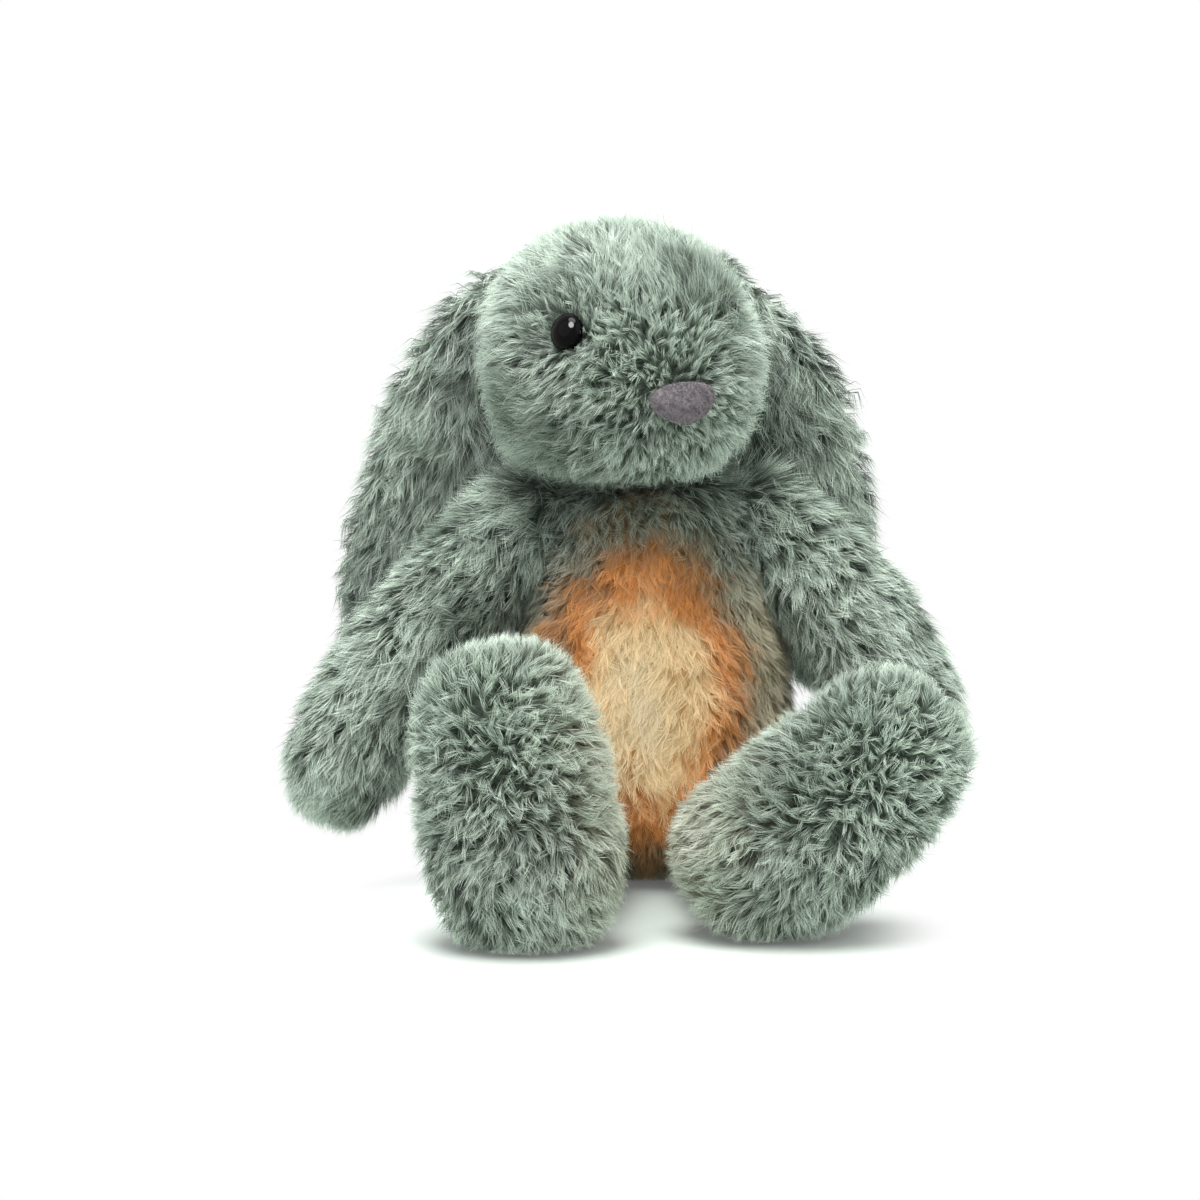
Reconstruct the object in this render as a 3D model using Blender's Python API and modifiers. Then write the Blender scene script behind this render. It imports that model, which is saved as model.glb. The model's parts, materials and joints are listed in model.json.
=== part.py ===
"""Seated plush rabbit night light. Metres, +Z up, the rabbit faces -Y and its own left side is +X.

The origin is on the floor, under the torso. Stuffed forms are rings swept along a spine and smoothed. The light
module is built upright along its own Z and laid down so that its dome faces the belly."""

import math

import bmesh
import bpy
from mathutils import Matrix, Vector

# Running gaps
seat_gap = 0.0003
joint_gap = 0.0006
overrun = 0.004
weld_gap = 0.00001
limb_sweep_pitch = math.radians(12.5)
ear_sweep_pitch = math.radians(50)

# Torso, a pear that stands on its flat seat
torso_height = 0.152
seat_sink = 0.004
torso_half_width = 0.0510
torso_half_depth = 0.0390
torso_centre_x = 0.0015
torso_centre_y = -0.007
torso_girth_shares = (
    (0.0, 0.76), (0.12, 0.96), (0.33, 1.0), (0.55, 0.92), (0.75, 0.83), (0.9, 0.88), (1.0, 0.88))

# Head, a ball that swells into a muzzle, turned to its own left
skull_radius = 0.0445
skull_height_share = 0.93
skull_centre_shares = (-0.166, -0.135, 0.921)
head_yaw = math.radians(19)
head_roll = math.radians(-5)
muzzle_reach = 0.0205
muzzle_pitch = math.radians(-16)
muzzle_spread = math.radians(33)
neck_shares = (-0.069, 0.128, 0.967)
head_nod_range = math.radians(15)
neck_ball_radius = 0.0135
cheek_reach = 0.003
cheek_spread = math.radians(30)
cheek_angle = math.radians(62)

# Safety eyes and their lock washers
eye_radius = 0.0066
eye_dome_height = 0.0040
eye_rim_height = 0.0011
eye_angle = math.radians(41)
eye_lift = math.radians(16)
eye_toe_out = math.radians(18)
shank_radius = 0.0016
shank_length = 0.011
washer_radius = 0.006
washer_thickness = 0.0014
eye_wall = 0.006
eye_seat_depth = 0.0012

# Velour nose pad
nose_half_width = 0.0150
nose_half_height = 0.0074
nose_half_depth = 0.0036
nose_pitch = math.radians(-13)
nose_sunk = 0.0016
nose_taper_share = 0.42

# Ears, flat forms that hang from the crown behind the arms
ear_half_width = 0.0205
ear_half_thickness = 0.0075
ear_root_radius = 0.0095
ear_root_sunk = 0.006
ear_width_shares = ((0.0, 0.55), (0.15, 0.80), (0.4, 1.20), (0.7, 1.04), (1.0, 0.95))
ear_length = 0.176
ear_lift_range = math.radians(100)
right_ear_root_shares = (-0.654, 0.292, 0.663)
right_ear_spine_shares = (
    (-0.122, 0.040, -0.148), (-0.188, 0.085, -0.352), (-0.276, 0.128, -0.588), (-0.310, 0.151, -0.776),
    (-0.315, 0.162, -0.906))
left_ear_root_shares = (0.775, 0.292, 0.557)
left_ear_spine_shares = (
    (0.104, 0.040, -0.148), (0.164, 0.085, -0.343), (0.221, 0.128, -0.570), (0.241, 0.151, -0.743),
    (0.235, 0.162, -0.868))

# Arms, which hang from the shoulders
arm_radius = 0.0215
arm_root_radius = 0.0145
arm_root_sunk = 0.012
arm_girth_shares = ((0.0, 0.80), (0.25, 0.90), (0.6, 0.96), (0.85, 1.04), (1.0, 1.02))
arm_length = 0.138
arm_lift_range = math.radians(75)
right_shoulder_shares = (-0.755, 0.000, 0.855)
right_arm_spine_shares = (
    (-0.181, -0.043, -0.159), (-0.348, -0.072, -0.377), (-0.482, -0.087, -0.558), (-0.547, -0.087, -0.786))
left_shoulder_shares = (0.735, 0.000, 0.855)
left_arm_spine_shares = (
    (0.160, -0.043, -0.145), (0.290, -0.072, -0.326), (0.378, -0.087, -0.504), (0.405, -0.087, -0.750))

# Legs: a thigh that runs forward from the hip, and a big foot that stands on its heel
thigh_radius = 0.0205
hip_radius = 0.0150
thigh_root_sunk = 0.010
foot_half_width = 0.0315
foot_half_depth = 0.0180
foot_width_shares = ((0.0, 0.86), (0.25, 1.0), (0.6, 0.98), (1.0, 0.84))
thigh_girth_shares = ((0.0, 0.88), (0.5, 1.0), (1.0, 1.06))
leg_length = 0.077
foot_length = 0.105
leg_lift_range = math.radians(25)
right_hip_shares = (-0.520, -0.590, 0.155)
right_thigh_spine_shares = ((-0.104, -0.416, -0.013), (-0.169, -1.050, 0.006))
right_heel_shares = (-0.169, -0.987, -0.358)
right_foot_spine_shares = ((-0.048, -0.029, 0.481), (-0.124, 0.019, 0.986))
left_hip_shares = (0.500, -0.564, 0.155)
left_thigh_spine_shares = ((0.078, -0.351, -0.026), (0.156, -0.920, 0.000))
left_heel_shares = (-0.143, -0.857, -0.152)
left_foot_spine_shares = ((0.400, -0.029, 0.286), (0.762, 0.019, 0.648))

# Tail
tail_radius = 0.0130
tail_centre_shares = (0.0, 0.910, 0.155)

# Light module, upright along its own Z with the battery side at zero
module_height_share = 0.487
module_cover = 0.0200
housing_rim = 0.0021
housing_wall = 0.0018
housing_bevel = 0.0012
board_space = 0.0080
bay_floor = 0.0022
bay_headroom = 0.0006
door_thickness = 0.0018
door_border = 0.0016
door_tab = 0.0090
door_tab_width = 0.0120
corner_radius = 0.0020
bezel_height = 0.0085
bezel_lip = 0.0015
dome_clearance = 0.0005
dome_flange_width = 0.0025
dome_wall = 0.0013
dome_height = 0.0125
dome_travel = 0.0010
stem_radius = 0.0022
board_thickness = 0.0016
switch_width = 0.0062
switch_height = 0.0036
plunger_radius = 0.0017
plunger_height = 0.0022
plunger_sunk_share = 0.6
led_radius = 0.0015
led_height = 0.0040
led_count = 4
reflector_inner_radius = 0.0065
reflector_clearance = 0.0027
reflector_wall = 0.0009
boss_radius = 0.0023
screw_radius = 0.0011
screw_head_radius = 0.0019
screw_head_height = 0.0012
screw_length = 0.0190
screw_count = 2
door_screw_length = 0.0085

# AAA cells and their contacts
cell_radius = 0.00525
cell_length = 0.0445
cell_nub_radius = 0.0019
cell_nub_height = 0.0010
cell_count = 3
cell_gap = 0.0004
wire_radius = 0.0003
spring_radius = 0.0030
spring_tip_radius = 0.0018
spring_turns = 3
spring_length = 0.0022
contact_thickness = 0.0004
contact_width = 0.0084

# Pouch, flap and tapes
pouch_wall = 0.0012
pouch_hem_width = 0.0103
flap_border = 0.0020
flap_hinge_proud = 0.0009
flap_plug_share = 0.88
tape_length = 0.0220
tape_width = 0.0070
tape_thickness = 0.0008

# Grip grooves of the battery door
grip_count = 4
grip_length = 0.012
grip_width = 0.0009
grip_depth = 0.0006

# Facets
turned_steps = 28
small_steps = 12
eye_steps = 18
cell_steps = 16
dome_steps = 6
led_steps = 4
coil_steps = 9
limb_segments = 8
limb_rings = 8
body_segments = 12
body_rings = 11
limb_roundness = 3.6
body_roundness = 2.5

sage = (0.27, 0.36, 0.29, 1)
screw_turn = math.radians(90)


def placed_in_torso(shares):
    """A point given as shares of the torso's half width, half depth and height, from the middle of its seat."""
    across, back, up = shares
    return Vector((torso_centre_x + across * torso_half_width, torso_centre_y + back * torso_half_depth,
                   up * torso_height))


def share_at(shares, place):
    """Value at a place from 0 to 1, read from a short table of (place, share)."""
    for (before, low), (after, high) in zip(shares, shares[1:]):
        if place <= after:
            return low + (high - low) * (place - before) / (after - before)
    return shares[-1][1]


def pear_share(place):
    """How far the torso's side stands out at a place from its bottom, 0, to its top, 1."""
    height = 2 * place - 1
    round_off = (1 - abs(height) ** body_roundness) ** (1 / body_roundness)
    return share_at(torso_girth_shares, place) * round_off


def torso_back(height):
    """Where the torso's back surface stands at a height over the floor."""
    place = (height + seat_sink) / (torso_height + seat_sink)
    return torso_centre_y + torso_half_depth * pear_share(place)


# Sizes worked out from the ones above: the figure
neck_pivot = placed_in_torso(neck_shares)
skull_centre = neck_pivot + Vector(skull_centre_shares) * skull_radius
tail_centre = placed_in_torso(tail_centre_shares)

# The battery bay, which takes the cells and their contacts
cell_pitch = 2 * cell_radius + cell_gap
bay_length = cell_length + spring_length + 2 * contact_thickness + 5 * seat_gap
bay_width = cell_count * cell_pitch + cell_gap * 2
deck_height = door_thickness + 3 * seat_gap + 2 * cell_radius + bay_headroom + bay_floor
bay_depth = deck_height - bay_floor
cell_centre_z = door_thickness + 3 * seat_gap + cell_radius
cell_shift = (bay_length - cell_length) / 2 - contact_thickness - 2 * seat_gap
door_length = bay_length + 2 * door_border
door_width = bay_width + 2 * door_border
door_tab_reach = door_tab + door_width / 2
door_tab_y = bay_width / 2 + door_tab - door_tab_reach / 2
door_screw_y = bay_width / 2 + door_tab / 2
door_head = screw_head_height + seat_gap
grip_start = -bay_width / 3

# The housing, which takes the bay, and the dome and board inside it
housing_radius = math.hypot(door_length, door_width) / 2 + housing_rim
housing_height = deck_height + board_space
boss_circle_radius = housing_radius - housing_wall - boss_radius - joint_gap
board_radius = boss_circle_radius - boss_radius - dome_clearance
dome_flange_radius = board_radius
dome_radius = dome_flange_radius - dome_flange_width
reflector_outer_radius = dome_radius - dome_wall - reflector_clearance
led_circle_radius = reflector_inner_radius + 4 * led_radius
board_low = deck_height + seat_gap
plunger_low = board_low + board_thickness + seat_gap + switch_height - plunger_height * plunger_sunk_share
plunger_top = plunger_low + plunger_height
module_height = housing_height + bezel_height - bezel_lip + dome_height
module_centre_z = module_height_share * torso_height
module_rear_y = torso_centre_y + torso_half_depth - module_cover

# The pouch round the module, and the flap behind it
pouch_inner_radius = housing_radius + seat_gap
pouch_shoulder = housing_height + bezel_height + 2 * seat_gap
pouch_nose_radius = dome_radius
pouch_hem_radius = pouch_inner_radius - pouch_hem_width
flap_radius = pouch_inner_radius + pouch_wall + flap_border
flap_front = -2 * seat_gap - pouch_wall - 3 * seat_gap - 2 * tape_thickness
flap_reach = torso_half_depth
flap_top_z = module_centre_z + flap_radius
flap_pivot = Vector((torso_centre_x, torso_back(flap_top_z) + flap_hinge_proud, flap_top_z))


def clear_scene():
    for obj in list(bpy.data.objects):
        bpy.data.objects.remove(obj, do_unlink=True)


def new_collection(name):
    collection = bpy.data.collections.new(name)
    bpy.context.scene.collection.children.link(collection)
    return collection


clear_scene()
rabbit = new_collection("plush_rabbit_night_light")
cutters = new_collection("cutters")
cutters.hide_render = True


def finish_material(name, colour, roughness, metallic=0.0):
    """One Principled material."""
    material = bpy.data.materials.get(name) or bpy.data.materials.new(name)
    material.use_nodes = True
    shader = material.node_tree.nodes["Principled BSDF"]
    shader.inputs["Base Color"].default_value = colour
    shader.inputs["Roughness"].default_value = roughness
    shader.inputs["Metallic"].default_value = metallic
    material.diffuse_color = colour
    return material


def add_object(name, mesh, material=None, parent=None):
    obj = bpy.data.objects.new(name, mesh)
    if material is None:
        cutters.objects.link(obj)
        obj.hide_render = True
        obj.display_type = "WIRE"
    else:
        rabbit.objects.link(obj)
        obj.data.materials.append(material)
    obj.parent = parent
    return obj


def mesh_from(name, bm, smooth=True):
    mesh = bpy.data.meshes.new(name)
    bmesh.ops.recalc_face_normals(bm, faces=bm.faces)
    bm.to_mesh(mesh)
    bm.free()
    if smooth:
        mesh.shade_smooth()
        mesh.set_sharp_from_angle(angle=math.radians(40))
    return mesh


def add_boolean(obj, cutter, operation="DIFFERENCE"):
    modifier = obj.modifiers.new(cutter.name, "BOOLEAN")
    modifier.operation = operation
    modifier.solver = "EXACT"
    modifier.object = cutter
    return modifier


def add_subdivision(obj, levels=1):
    modifier = obj.modifiers.new("stuffing", "SUBSURF")
    modifier.levels = levels
    modifier.render_levels = levels


# Stuffed forms

def spine_from(root, shares, length):
    """A spine's points: its root, and shares of a length from there."""
    return [root] + [root + Vector(share) * length for share in shares]


def sunk_spine(points, depth):
    """The spine with a first point further back, inside what carries it."""
    back = (points[0] - points[1]).normalized()
    return [points[0] + back * depth] + points[1:]


def spine_at(points, place):
    """(point, tangent) on a smooth curve through the spine's points, at a place from 0 to 1 of its length."""
    lengths = [(b - a).length for a, b in zip(points, points[1:])]
    reach = place * sum(lengths)
    index = 0
    while index < len(lengths) - 1 and reach > lengths[index]:
        reach -= lengths[index]
        index += 1
    t = reach / lengths[index]
    start, end = points[index], points[index + 1]
    before = points[index - 1] if index else start * 2 - end
    after = points[index + 2] if index + 2 < len(points) else end * 2 - start
    lead, follow = (end - before) / 2, (after - start) / 2
    place_vector = (start * (2 * t**3 - 3 * t**2 + 1) + lead * (t**3 - 2 * t**2 + t)
                    + end * (3 * t**2 - 2 * t**3) + follow * (t**3 - t**2))
    slope = (start * (6 * t**2 - 6 * t) + lead * (3 * t**2 - 4 * t + 1)
             + end * (6 * t - 6 * t**2) + follow * (3 * t**2 - 2 * t))
    return place_vector, slope.normalized()


def cage_stretch(segments):
    """How far a round cage stands outside the surface that it is subdivided into."""
    return 1 / math.cos(math.pi / segments)


def limb_mesh(name, spine, half_width, half_depth, shares, swell=0.0, thin_axis=Vector((0, 1, 0))):
    """A stuffed limb: the rings of a ball, moved along a spine, with shares of the half width and depth."""
    bm = bmesh.new()
    bmesh.ops.create_uvsphere(bm, u_segments=limb_segments, v_segments=limb_rings, radius=1)
    stretch = cage_stretch(limb_segments)
    for vertex in bm.verts:
        height = max(-1.0, min(1.0, vertex.co.z))
        place = (1 - height) / 2
        round_off = (1 - abs(height) ** limb_roundness) ** (1 / limb_roundness)
        girth = math.hypot(vertex.co.x, vertex.co.y)
        centre, along = spine_at(spine, place)
        thin = (thin_axis - along * thin_axis.dot(along)).normalized()
        wide = thin.cross(along)
        share = share_at(shares, place)
        if girth:
            side = vertex.co.x / girth * (half_width * share + swell) * round_off * stretch
            depth = vertex.co.y / girth * (half_depth * share + swell) * round_off * stretch
        else:
            side = depth = 0
            centre = centre + along * (-height * swell)
        vertex.co = centre + wide * side + thin * depth
    return mesh_from(name, bm)


def torso_mesh(name, swell=0.0):
    """The torso's pear, from its seat to its neck."""
    bm = bmesh.new()
    bmesh.ops.create_uvsphere(bm, u_segments=body_segments, v_segments=body_rings, radius=1)
    stretch = cage_stretch(body_segments)
    for vertex in bm.verts:
        height = max(-1.0, min(1.0, vertex.co.z))
        place = (1 + height) / 2
        share = pear_share(place)
        girth = math.hypot(vertex.co.x, vertex.co.y) or 1
        vertex.co = Vector((
            torso_centre_x + vertex.co.x / girth * (torso_half_width * share + swell) * stretch,
            torso_centre_y + vertex.co.y / girth * (torso_half_depth * share + swell) * stretch,
            place * (torso_height + seat_sink) - seat_sink + height * swell))
    return mesh_from(name, bm)


def head_axes():
    turn = Matrix.Rotation(head_yaw, 4, "Z") @ Matrix.Rotation(head_roll, 4, "Y")
    return Matrix.Translation(skull_centre) @ turn


def head_direction(turn, lift):
    """Unit direction in the head's own frame: turned from the face towards its left, and lifted."""
    return Vector((math.sin(turn) * math.cos(lift), -math.cos(turn) * math.cos(lift), math.sin(lift)))


def head_reach(direction):
    """The head's radius along a direction: a ball, a muzzle and two cheeks."""
    reach = skull_radius
    muzzle = direction.angle(head_direction(0, muzzle_pitch))
    reach += muzzle_reach * math.exp(-((muzzle / muzzle_spread) ** 2))
    for side in (-1, 1):
        cheek = direction.angle(head_direction(side * cheek_angle, 2 * muzzle_pitch))
        reach += cheek_reach * math.exp(-((cheek / cheek_spread) ** 2))
    return reach


def flattened(point):
    return Vector((point.x, point.y, point.z * skull_height_share))


def head_point(turn, lift, depth=0.0):
    direction = head_direction(turn, lift)
    return head_axes() @ flattened(direction * (head_reach(direction) - depth))


def head_mesh(name, swell=0.0):
    bm = bmesh.new()
    bmesh.ops.create_uvsphere(bm, u_segments=body_segments + 2, v_segments=body_rings, radius=1)
    stretch = cage_stretch(body_segments)
    axes = head_axes()
    for vertex in bm.verts:
        direction = vertex.co.normalized()
        vertex.co = axes @ flattened(direction * (head_reach(direction) + swell) * stretch)
    return mesh_from(name, bm)


def ball_cutter(name, centre, radius, segments=14):
    bm = bmesh.new()
    bmesh.ops.create_uvsphere(bm, u_segments=segments, v_segments=segments // 2 + 2, radius=radius)
    cutter = add_object(name, mesh_from(name, bm))
    cutter.location = centre
    return cutter


def box_mesh(name, size, bevel=0.0):
    bm = bmesh.new()
    bmesh.ops.create_cube(bm, size=1)
    bmesh.ops.scale(bm, vec=size, verts=bm.verts)
    if bevel:
        edges = [e for e in bm.edges if abs((e.verts[0].co - e.verts[1].co).normalized().z) > 0.9]
        bmesh.ops.bevel(bm, geom=edges, offset=bevel, segments=3, affect="EDGES", profile=0.5)
    return mesh_from(name, bm, smooth=False)


def floor_cutter():
    """A block under the seat plane, which flattens whatever stands on it."""
    reach = 4 * torso_height
    cutter = add_object("floor_cutter", box_mesh("floor_cutter", (reach, reach, torso_height)))
    cutter.location.z = -torso_height / 2
    return cutter


def turned(name, profile, material=None, parent=None, steps=turned_steps):
    """A turned piece: a profile of (radius, height), from the top of the axis down, spun round Z."""
    mesh = bpy.data.meshes.new(name)
    closed = profile[0][0] > 0 or profile[-1][0] > 0
    edges = [(i, i + 1) for i in range(len(profile) - 1)]
    if closed:
        edges.append((len(profile) - 1, 0))
    mesh.from_pydata([(radius, 0, height) for radius, height in profile], edges, [])
    obj = add_object(name, mesh, material, parent)
    screw = obj.modifiers.new("turn", "SCREW")
    screw.steps = steps
    screw.render_steps = steps
    screw.use_merge_vertices = True
    screw.merge_threshold = weld_gap
    screw.use_smooth_shade = True
    return obj


def quarter_arc(steps):
    """(across, up) on a quarter of a unit circle, from its top to its side."""
    angles = [math.pi / 2 * i / steps for i in range(steps + 1)]
    return [(math.sin(angle), math.cos(angle)) for angle in angles]


def rod_profile(radius, low, high):
    return [(0, high), (radius, high), (radius, low), (0, low)]


fur = finish_material("sage_plush", sage, 0.95)
belly_fabric = finish_material("pouch_lining", (0.80, 0.77, 0.70, 1), 0.95)
black_gloss = finish_material("eye_black", (0.012, 0.012, 0.014, 1), 0.08)
nose_velour = finish_material("nose_velour", (0.16, 0.14, 0.15, 1), 0.85)


# Plush pieces

def set_origin(obj, pivot):
    """Moves the object's origin onto its joint, with the shape left where it is."""
    obj.data.transform(Matrix.Translation(-pivot))
    obj.location = pivot


def make_torso():
    torso = add_object("torso", torso_mesh("torso"), fur)
    add_subdivision(torso)
    add_boolean(torso, floor_block)
    return torso


def make_head():
    head = add_object("head", head_mesh("head"), fur)
    add_subdivision(head)
    neck_ball = ball_cutter("neck_ball", neck_pivot, neck_ball_radius)
    add_boolean(head, neck_ball, "UNION")
    set_origin(head, neck_pivot)
    return head


def swollen_torso(name, gap):
    cutter = add_object(name, torso_mesh(name, gap))
    add_subdivision(cutter)
    return cutter


def swollen_head(name, gap):
    cutter = add_object(name, head_mesh(name, gap))
    add_subdivision(cutter)
    return cutter


def add_sweep(obj, shape, pivot, axis, turn_range, pitch=limb_sweep_pitch):
    """Cuts an object clear of a shape at every stage of the shape's turn about a pivot."""
    stages = math.ceil(abs(turn_range) / pitch)
    for stage in range(stages + 1):
        turn = Matrix.Rotation(turn_range * stage / stages, 4, axis)
        sweep = add_object(f"{obj.name}_sweep_{stage}", shape.data.copy())
        sweep.data.transform(Matrix.Translation(pivot) @ turn @ Matrix.Translation(-pivot))
        add_subdivision(sweep)
        add_boolean(obj, sweep)


def make_ear(side, spine, head_cutter):
    name = "ear_" + side
    pivot = spine[0]
    ear_spine = sunk_spine(spine, ear_root_sunk)
    shape = limb_mesh(name, ear_spine, ear_half_width, ear_half_thickness, ear_width_shares)
    ear = add_object(name, shape, fur)
    add_subdivision(ear)
    outward = -1 if side == "left" else 1
    add_sweep(ear, head_cutter, pivot, "Y", -outward * ear_lift_range, ear_sweep_pitch)
    root = ball_cutter(name + "_root", pivot, ear_root_radius)
    add_boolean(ear, root, "UNION")
    set_origin(ear, pivot)
    return ear


def make_arm(side, spine):
    name = "arm_" + side
    pivot = spine[0]
    arm_spine = sunk_spine(spine, arm_root_sunk)
    arm = add_object(name, limb_mesh(name, arm_spine, arm_radius, arm_radius, arm_girth_shares), fur)
    add_subdivision(arm)
    outward = -1 if side == "left" else 1
    add_sweep(arm, torso_cutter, pivot, "Y", -outward * arm_lift_range)
    root = ball_cutter(name + "_root", pivot, arm_root_radius)
    add_boolean(arm, root, "UNION")
    set_origin(arm, pivot)
    return arm


def make_leg(side, thigh_spine, foot_spine):
    name = "leg_" + side
    pivot = thigh_spine[0]
    shape = limb_mesh(name, foot_spine, foot_half_width, foot_half_depth, foot_width_shares)
    leg = add_object(name, shape, fur)
    add_subdivision(leg)
    thigh = add_object(name + "_thigh", limb_mesh(name + "_thigh", sunk_spine(thigh_spine, thigh_root_sunk),
                                                  thigh_radius, thigh_radius, thigh_girth_shares))
    add_subdivision(thigh)
    add_boolean(leg, thigh, "UNION")
    add_sweep(leg, torso_cutter, pivot, "X", leg_lift_range)
    root = ball_cutter(name + "_root", pivot, hip_radius)
    add_boolean(leg, root, "UNION")
    add_boolean(leg, floor_block)
    set_origin(leg, pivot)
    return leg


def make_tail():
    tail = ball_cutter("tail_shape", tail_centre, tail_radius)
    tail.name = "tail"
    cutters.objects.unlink(tail)
    rabbit.objects.link(tail)
    tail.hide_render = False
    tail.display_type = "TEXTURED"
    tail.data.materials.append(fur)
    add_boolean(tail, torso_cutter)
    return tail


def cut_socket(obj, name, centre, radius):
    add_boolean(obj, ball_cutter(name, centre, radius + joint_gap))


# Face

def make_face(head):
    for side, sign in (("right", -1), ("left", 1)):
        turn = sign * eye_angle
        surface = head_point(turn, eye_lift, eye_seat_depth)
        outward = Matrix.Rotation(sign * eye_toe_out, 3, "Z") @ (surface - skull_centre).normalized()
        facing = outward.to_track_quat("Z", "Y").to_matrix().to_4x4()
        place = Matrix.Translation(surface) @ facing
        dome = [(eye_radius * across, eye_rim_height + eye_dome_height * up)
                for across, up in quarter_arc(dome_steps)]
        profile = dome + [(eye_radius, 0), (shank_radius, 0), (shank_radius, -shank_length), (0, -shank_length)]
        eye = turned("eye_" + side, profile, black_gloss, steps=eye_steps)
        eye.matrix_world = place
        washer_top = -eye_wall
        washer_low = washer_top - washer_thickness
        hole = shank_radius + joint_gap
        washer = turned("eye_washer_" + side, [
            (hole, washer_top), (washer_radius, washer_top), (washer_radius, washer_low), (hole, washer_low)],
            washer_plastic, steps=small_steps * 2)
        washer.matrix_world = place
        # The stepped hole that the eye sits in: rim seat, shank hole and the washer's space
        low = -shank_length - seat_gap
        socket = turned(f"eye_socket_{side}", [
            (0, overrun), (eye_radius + seat_gap, overrun),
            (eye_radius + seat_gap, -seat_gap), (hole, -seat_gap),
            (hole, washer_top + seat_gap), (washer_radius + seat_gap, washer_top + seat_gap),
            (washer_radius + seat_gap, washer_low - seat_gap), (hole, washer_low - seat_gap), (hole, low),
            (0, low)],
            steps=eye_steps)
        socket.matrix_world = place
        add_boolean(head, socket)
        eye.parent = head
        eye.matrix_parent_inverse = head_inverse
        washer.parent = head
        washer.matrix_parent_inverse = head_inverse


def make_nose(head):
    """A soft trapezoid pad on the muzzle's tip: wide on top, narrow below."""
    bm = bmesh.new()
    bmesh.ops.create_uvsphere(bm, u_segments=14, v_segments=8, radius=1)
    for vertex in bm.verts:
        narrow = 1 - nose_taper_share * (1 - vertex.co.z) / 2
        vertex.co = Vector((vertex.co.x * nose_half_width * narrow, vertex.co.y * nose_half_depth,
                            vertex.co.z * nose_half_height))
    tip = head_point(0, nose_pitch, nose_sunk)
    nose = add_object("nose_pad", mesh_from("nose_pad", bm), nose_velour)
    tilt = Matrix.Rotation(nose_pitch, 4, "X")
    nose.data.transform(Matrix.Translation(tip) @ head_axes().to_quaternion().to_matrix().to_4x4() @ tilt)
    cutter = add_object("muzzle_cutter", head_mesh("muzzle_cutter", seat_gap))
    add_subdivision(cutter)
    add_boolean(nose, cutter)
    nose.parent = head
    nose.matrix_parent_inverse = head_inverse
    return nose


# Light module

def make_housing(module):
    top = housing_height
    inner = housing_radius - housing_wall
    housing = turned("rear_housing", [
        (0, deck_height), (inner, deck_height), (inner, top), (housing_radius, top),
        (housing_radius, housing_bevel), (housing_radius - housing_bevel, 0), (0, 0)], module_plastic, module)
    bay_size = (bay_length, bay_width, bay_depth + overrun)
    bay = add_object("battery_bay", box_mesh("battery_bay", bay_size, corner_radius))
    bay.location.z = (bay_depth - overrun) / 2
    recess_depth = 2 * (door_thickness + seat_gap)
    recess = add_object("door_recess", box_mesh("door_recess", (
        door_length + 2 * seat_gap, door_width + 2 * seat_gap, recess_depth), corner_radius))
    tab_recess = add_object("door_tab_recess", box_mesh("door_tab_recess", (
        door_tab_width + 2 * seat_gap, door_tab_reach + 2 * seat_gap, recess_depth), corner_radius))
    tab_recess.location.y = door_tab_y
    screw_hole = turned("door_screw_hole", rod_profile(
        screw_radius + seat_gap, -overrun, door_screw_length + seat_gap), steps=small_steps)
    screw_hole.location.y = door_screw_y
    for cutter in (bay, recess, tab_recess, screw_hole):
        cutter.parent = module
        add_boolean(housing, cutter)
    for index in range(screw_count):
        x, y = on_circle(boss_circle_radius, index, screw_count, screw_turn)
        hole = turned(f"housing_screw_hole_{index}", rod_profile(
            screw_radius + seat_gap, -overrun, deck_height + overrun), steps=small_steps, parent=module)
        hole.location = (x, y, 0)
        add_boolean(housing, hole)
        head_profile = rod_profile(screw_head_radius + seat_gap, -overrun, screw_head_height + seat_gap)
        head_hole = turned(f"housing_screw_counterbore_{index}", head_profile, steps=small_steps, parent=module)
        head_hole.location = (x, y, 0)
        add_boolean(housing, head_hole)
    return housing


def on_circle(radius, index, count, start=0.0):
    angle = start + 2 * math.pi * index / count
    return radius * math.cos(angle), radius * math.sin(angle)


def make_bezel(module):
    """The front ring: it holds the dome's flange and carries the screw bosses."""
    low = housing_height + seat_gap
    top = low + bezel_height
    inner = housing_radius - housing_wall
    opening = dome_radius + joint_gap
    bezel = turned("front_bezel", [
        (opening, top), (housing_radius - housing_bevel, top), (housing_radius, top - housing_bevel),
        (housing_radius, low), (inner, low), (inner, top - bezel_lip), (opening, top - bezel_lip)],
        module_plastic, module)
    for index in range(screw_count):
        x, y = on_circle(boss_circle_radius, index, screw_count, screw_turn)
        boss = turned(f"bezel_boss_{index}", rod_profile(
            boss_radius, deck_height + seat_gap, top - bezel_lip / 2), steps=small_steps, parent=module)
        boss.location = (x, y, 0)
        add_boolean(bezel, boss, "UNION")
    for index in range(screw_count):
        x, y = on_circle(boss_circle_radius, index, screw_count, screw_turn)
        hole_profile = rod_profile(screw_radius + seat_gap, 0, screw_length + screw_head_height + seat_gap)
        hole = turned(f"bezel_screw_hole_{index}", hole_profile, steps=small_steps, parent=module)
        hole.location = (x, y, 0)
        add_boolean(bezel, hole)
    return bezel


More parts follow.
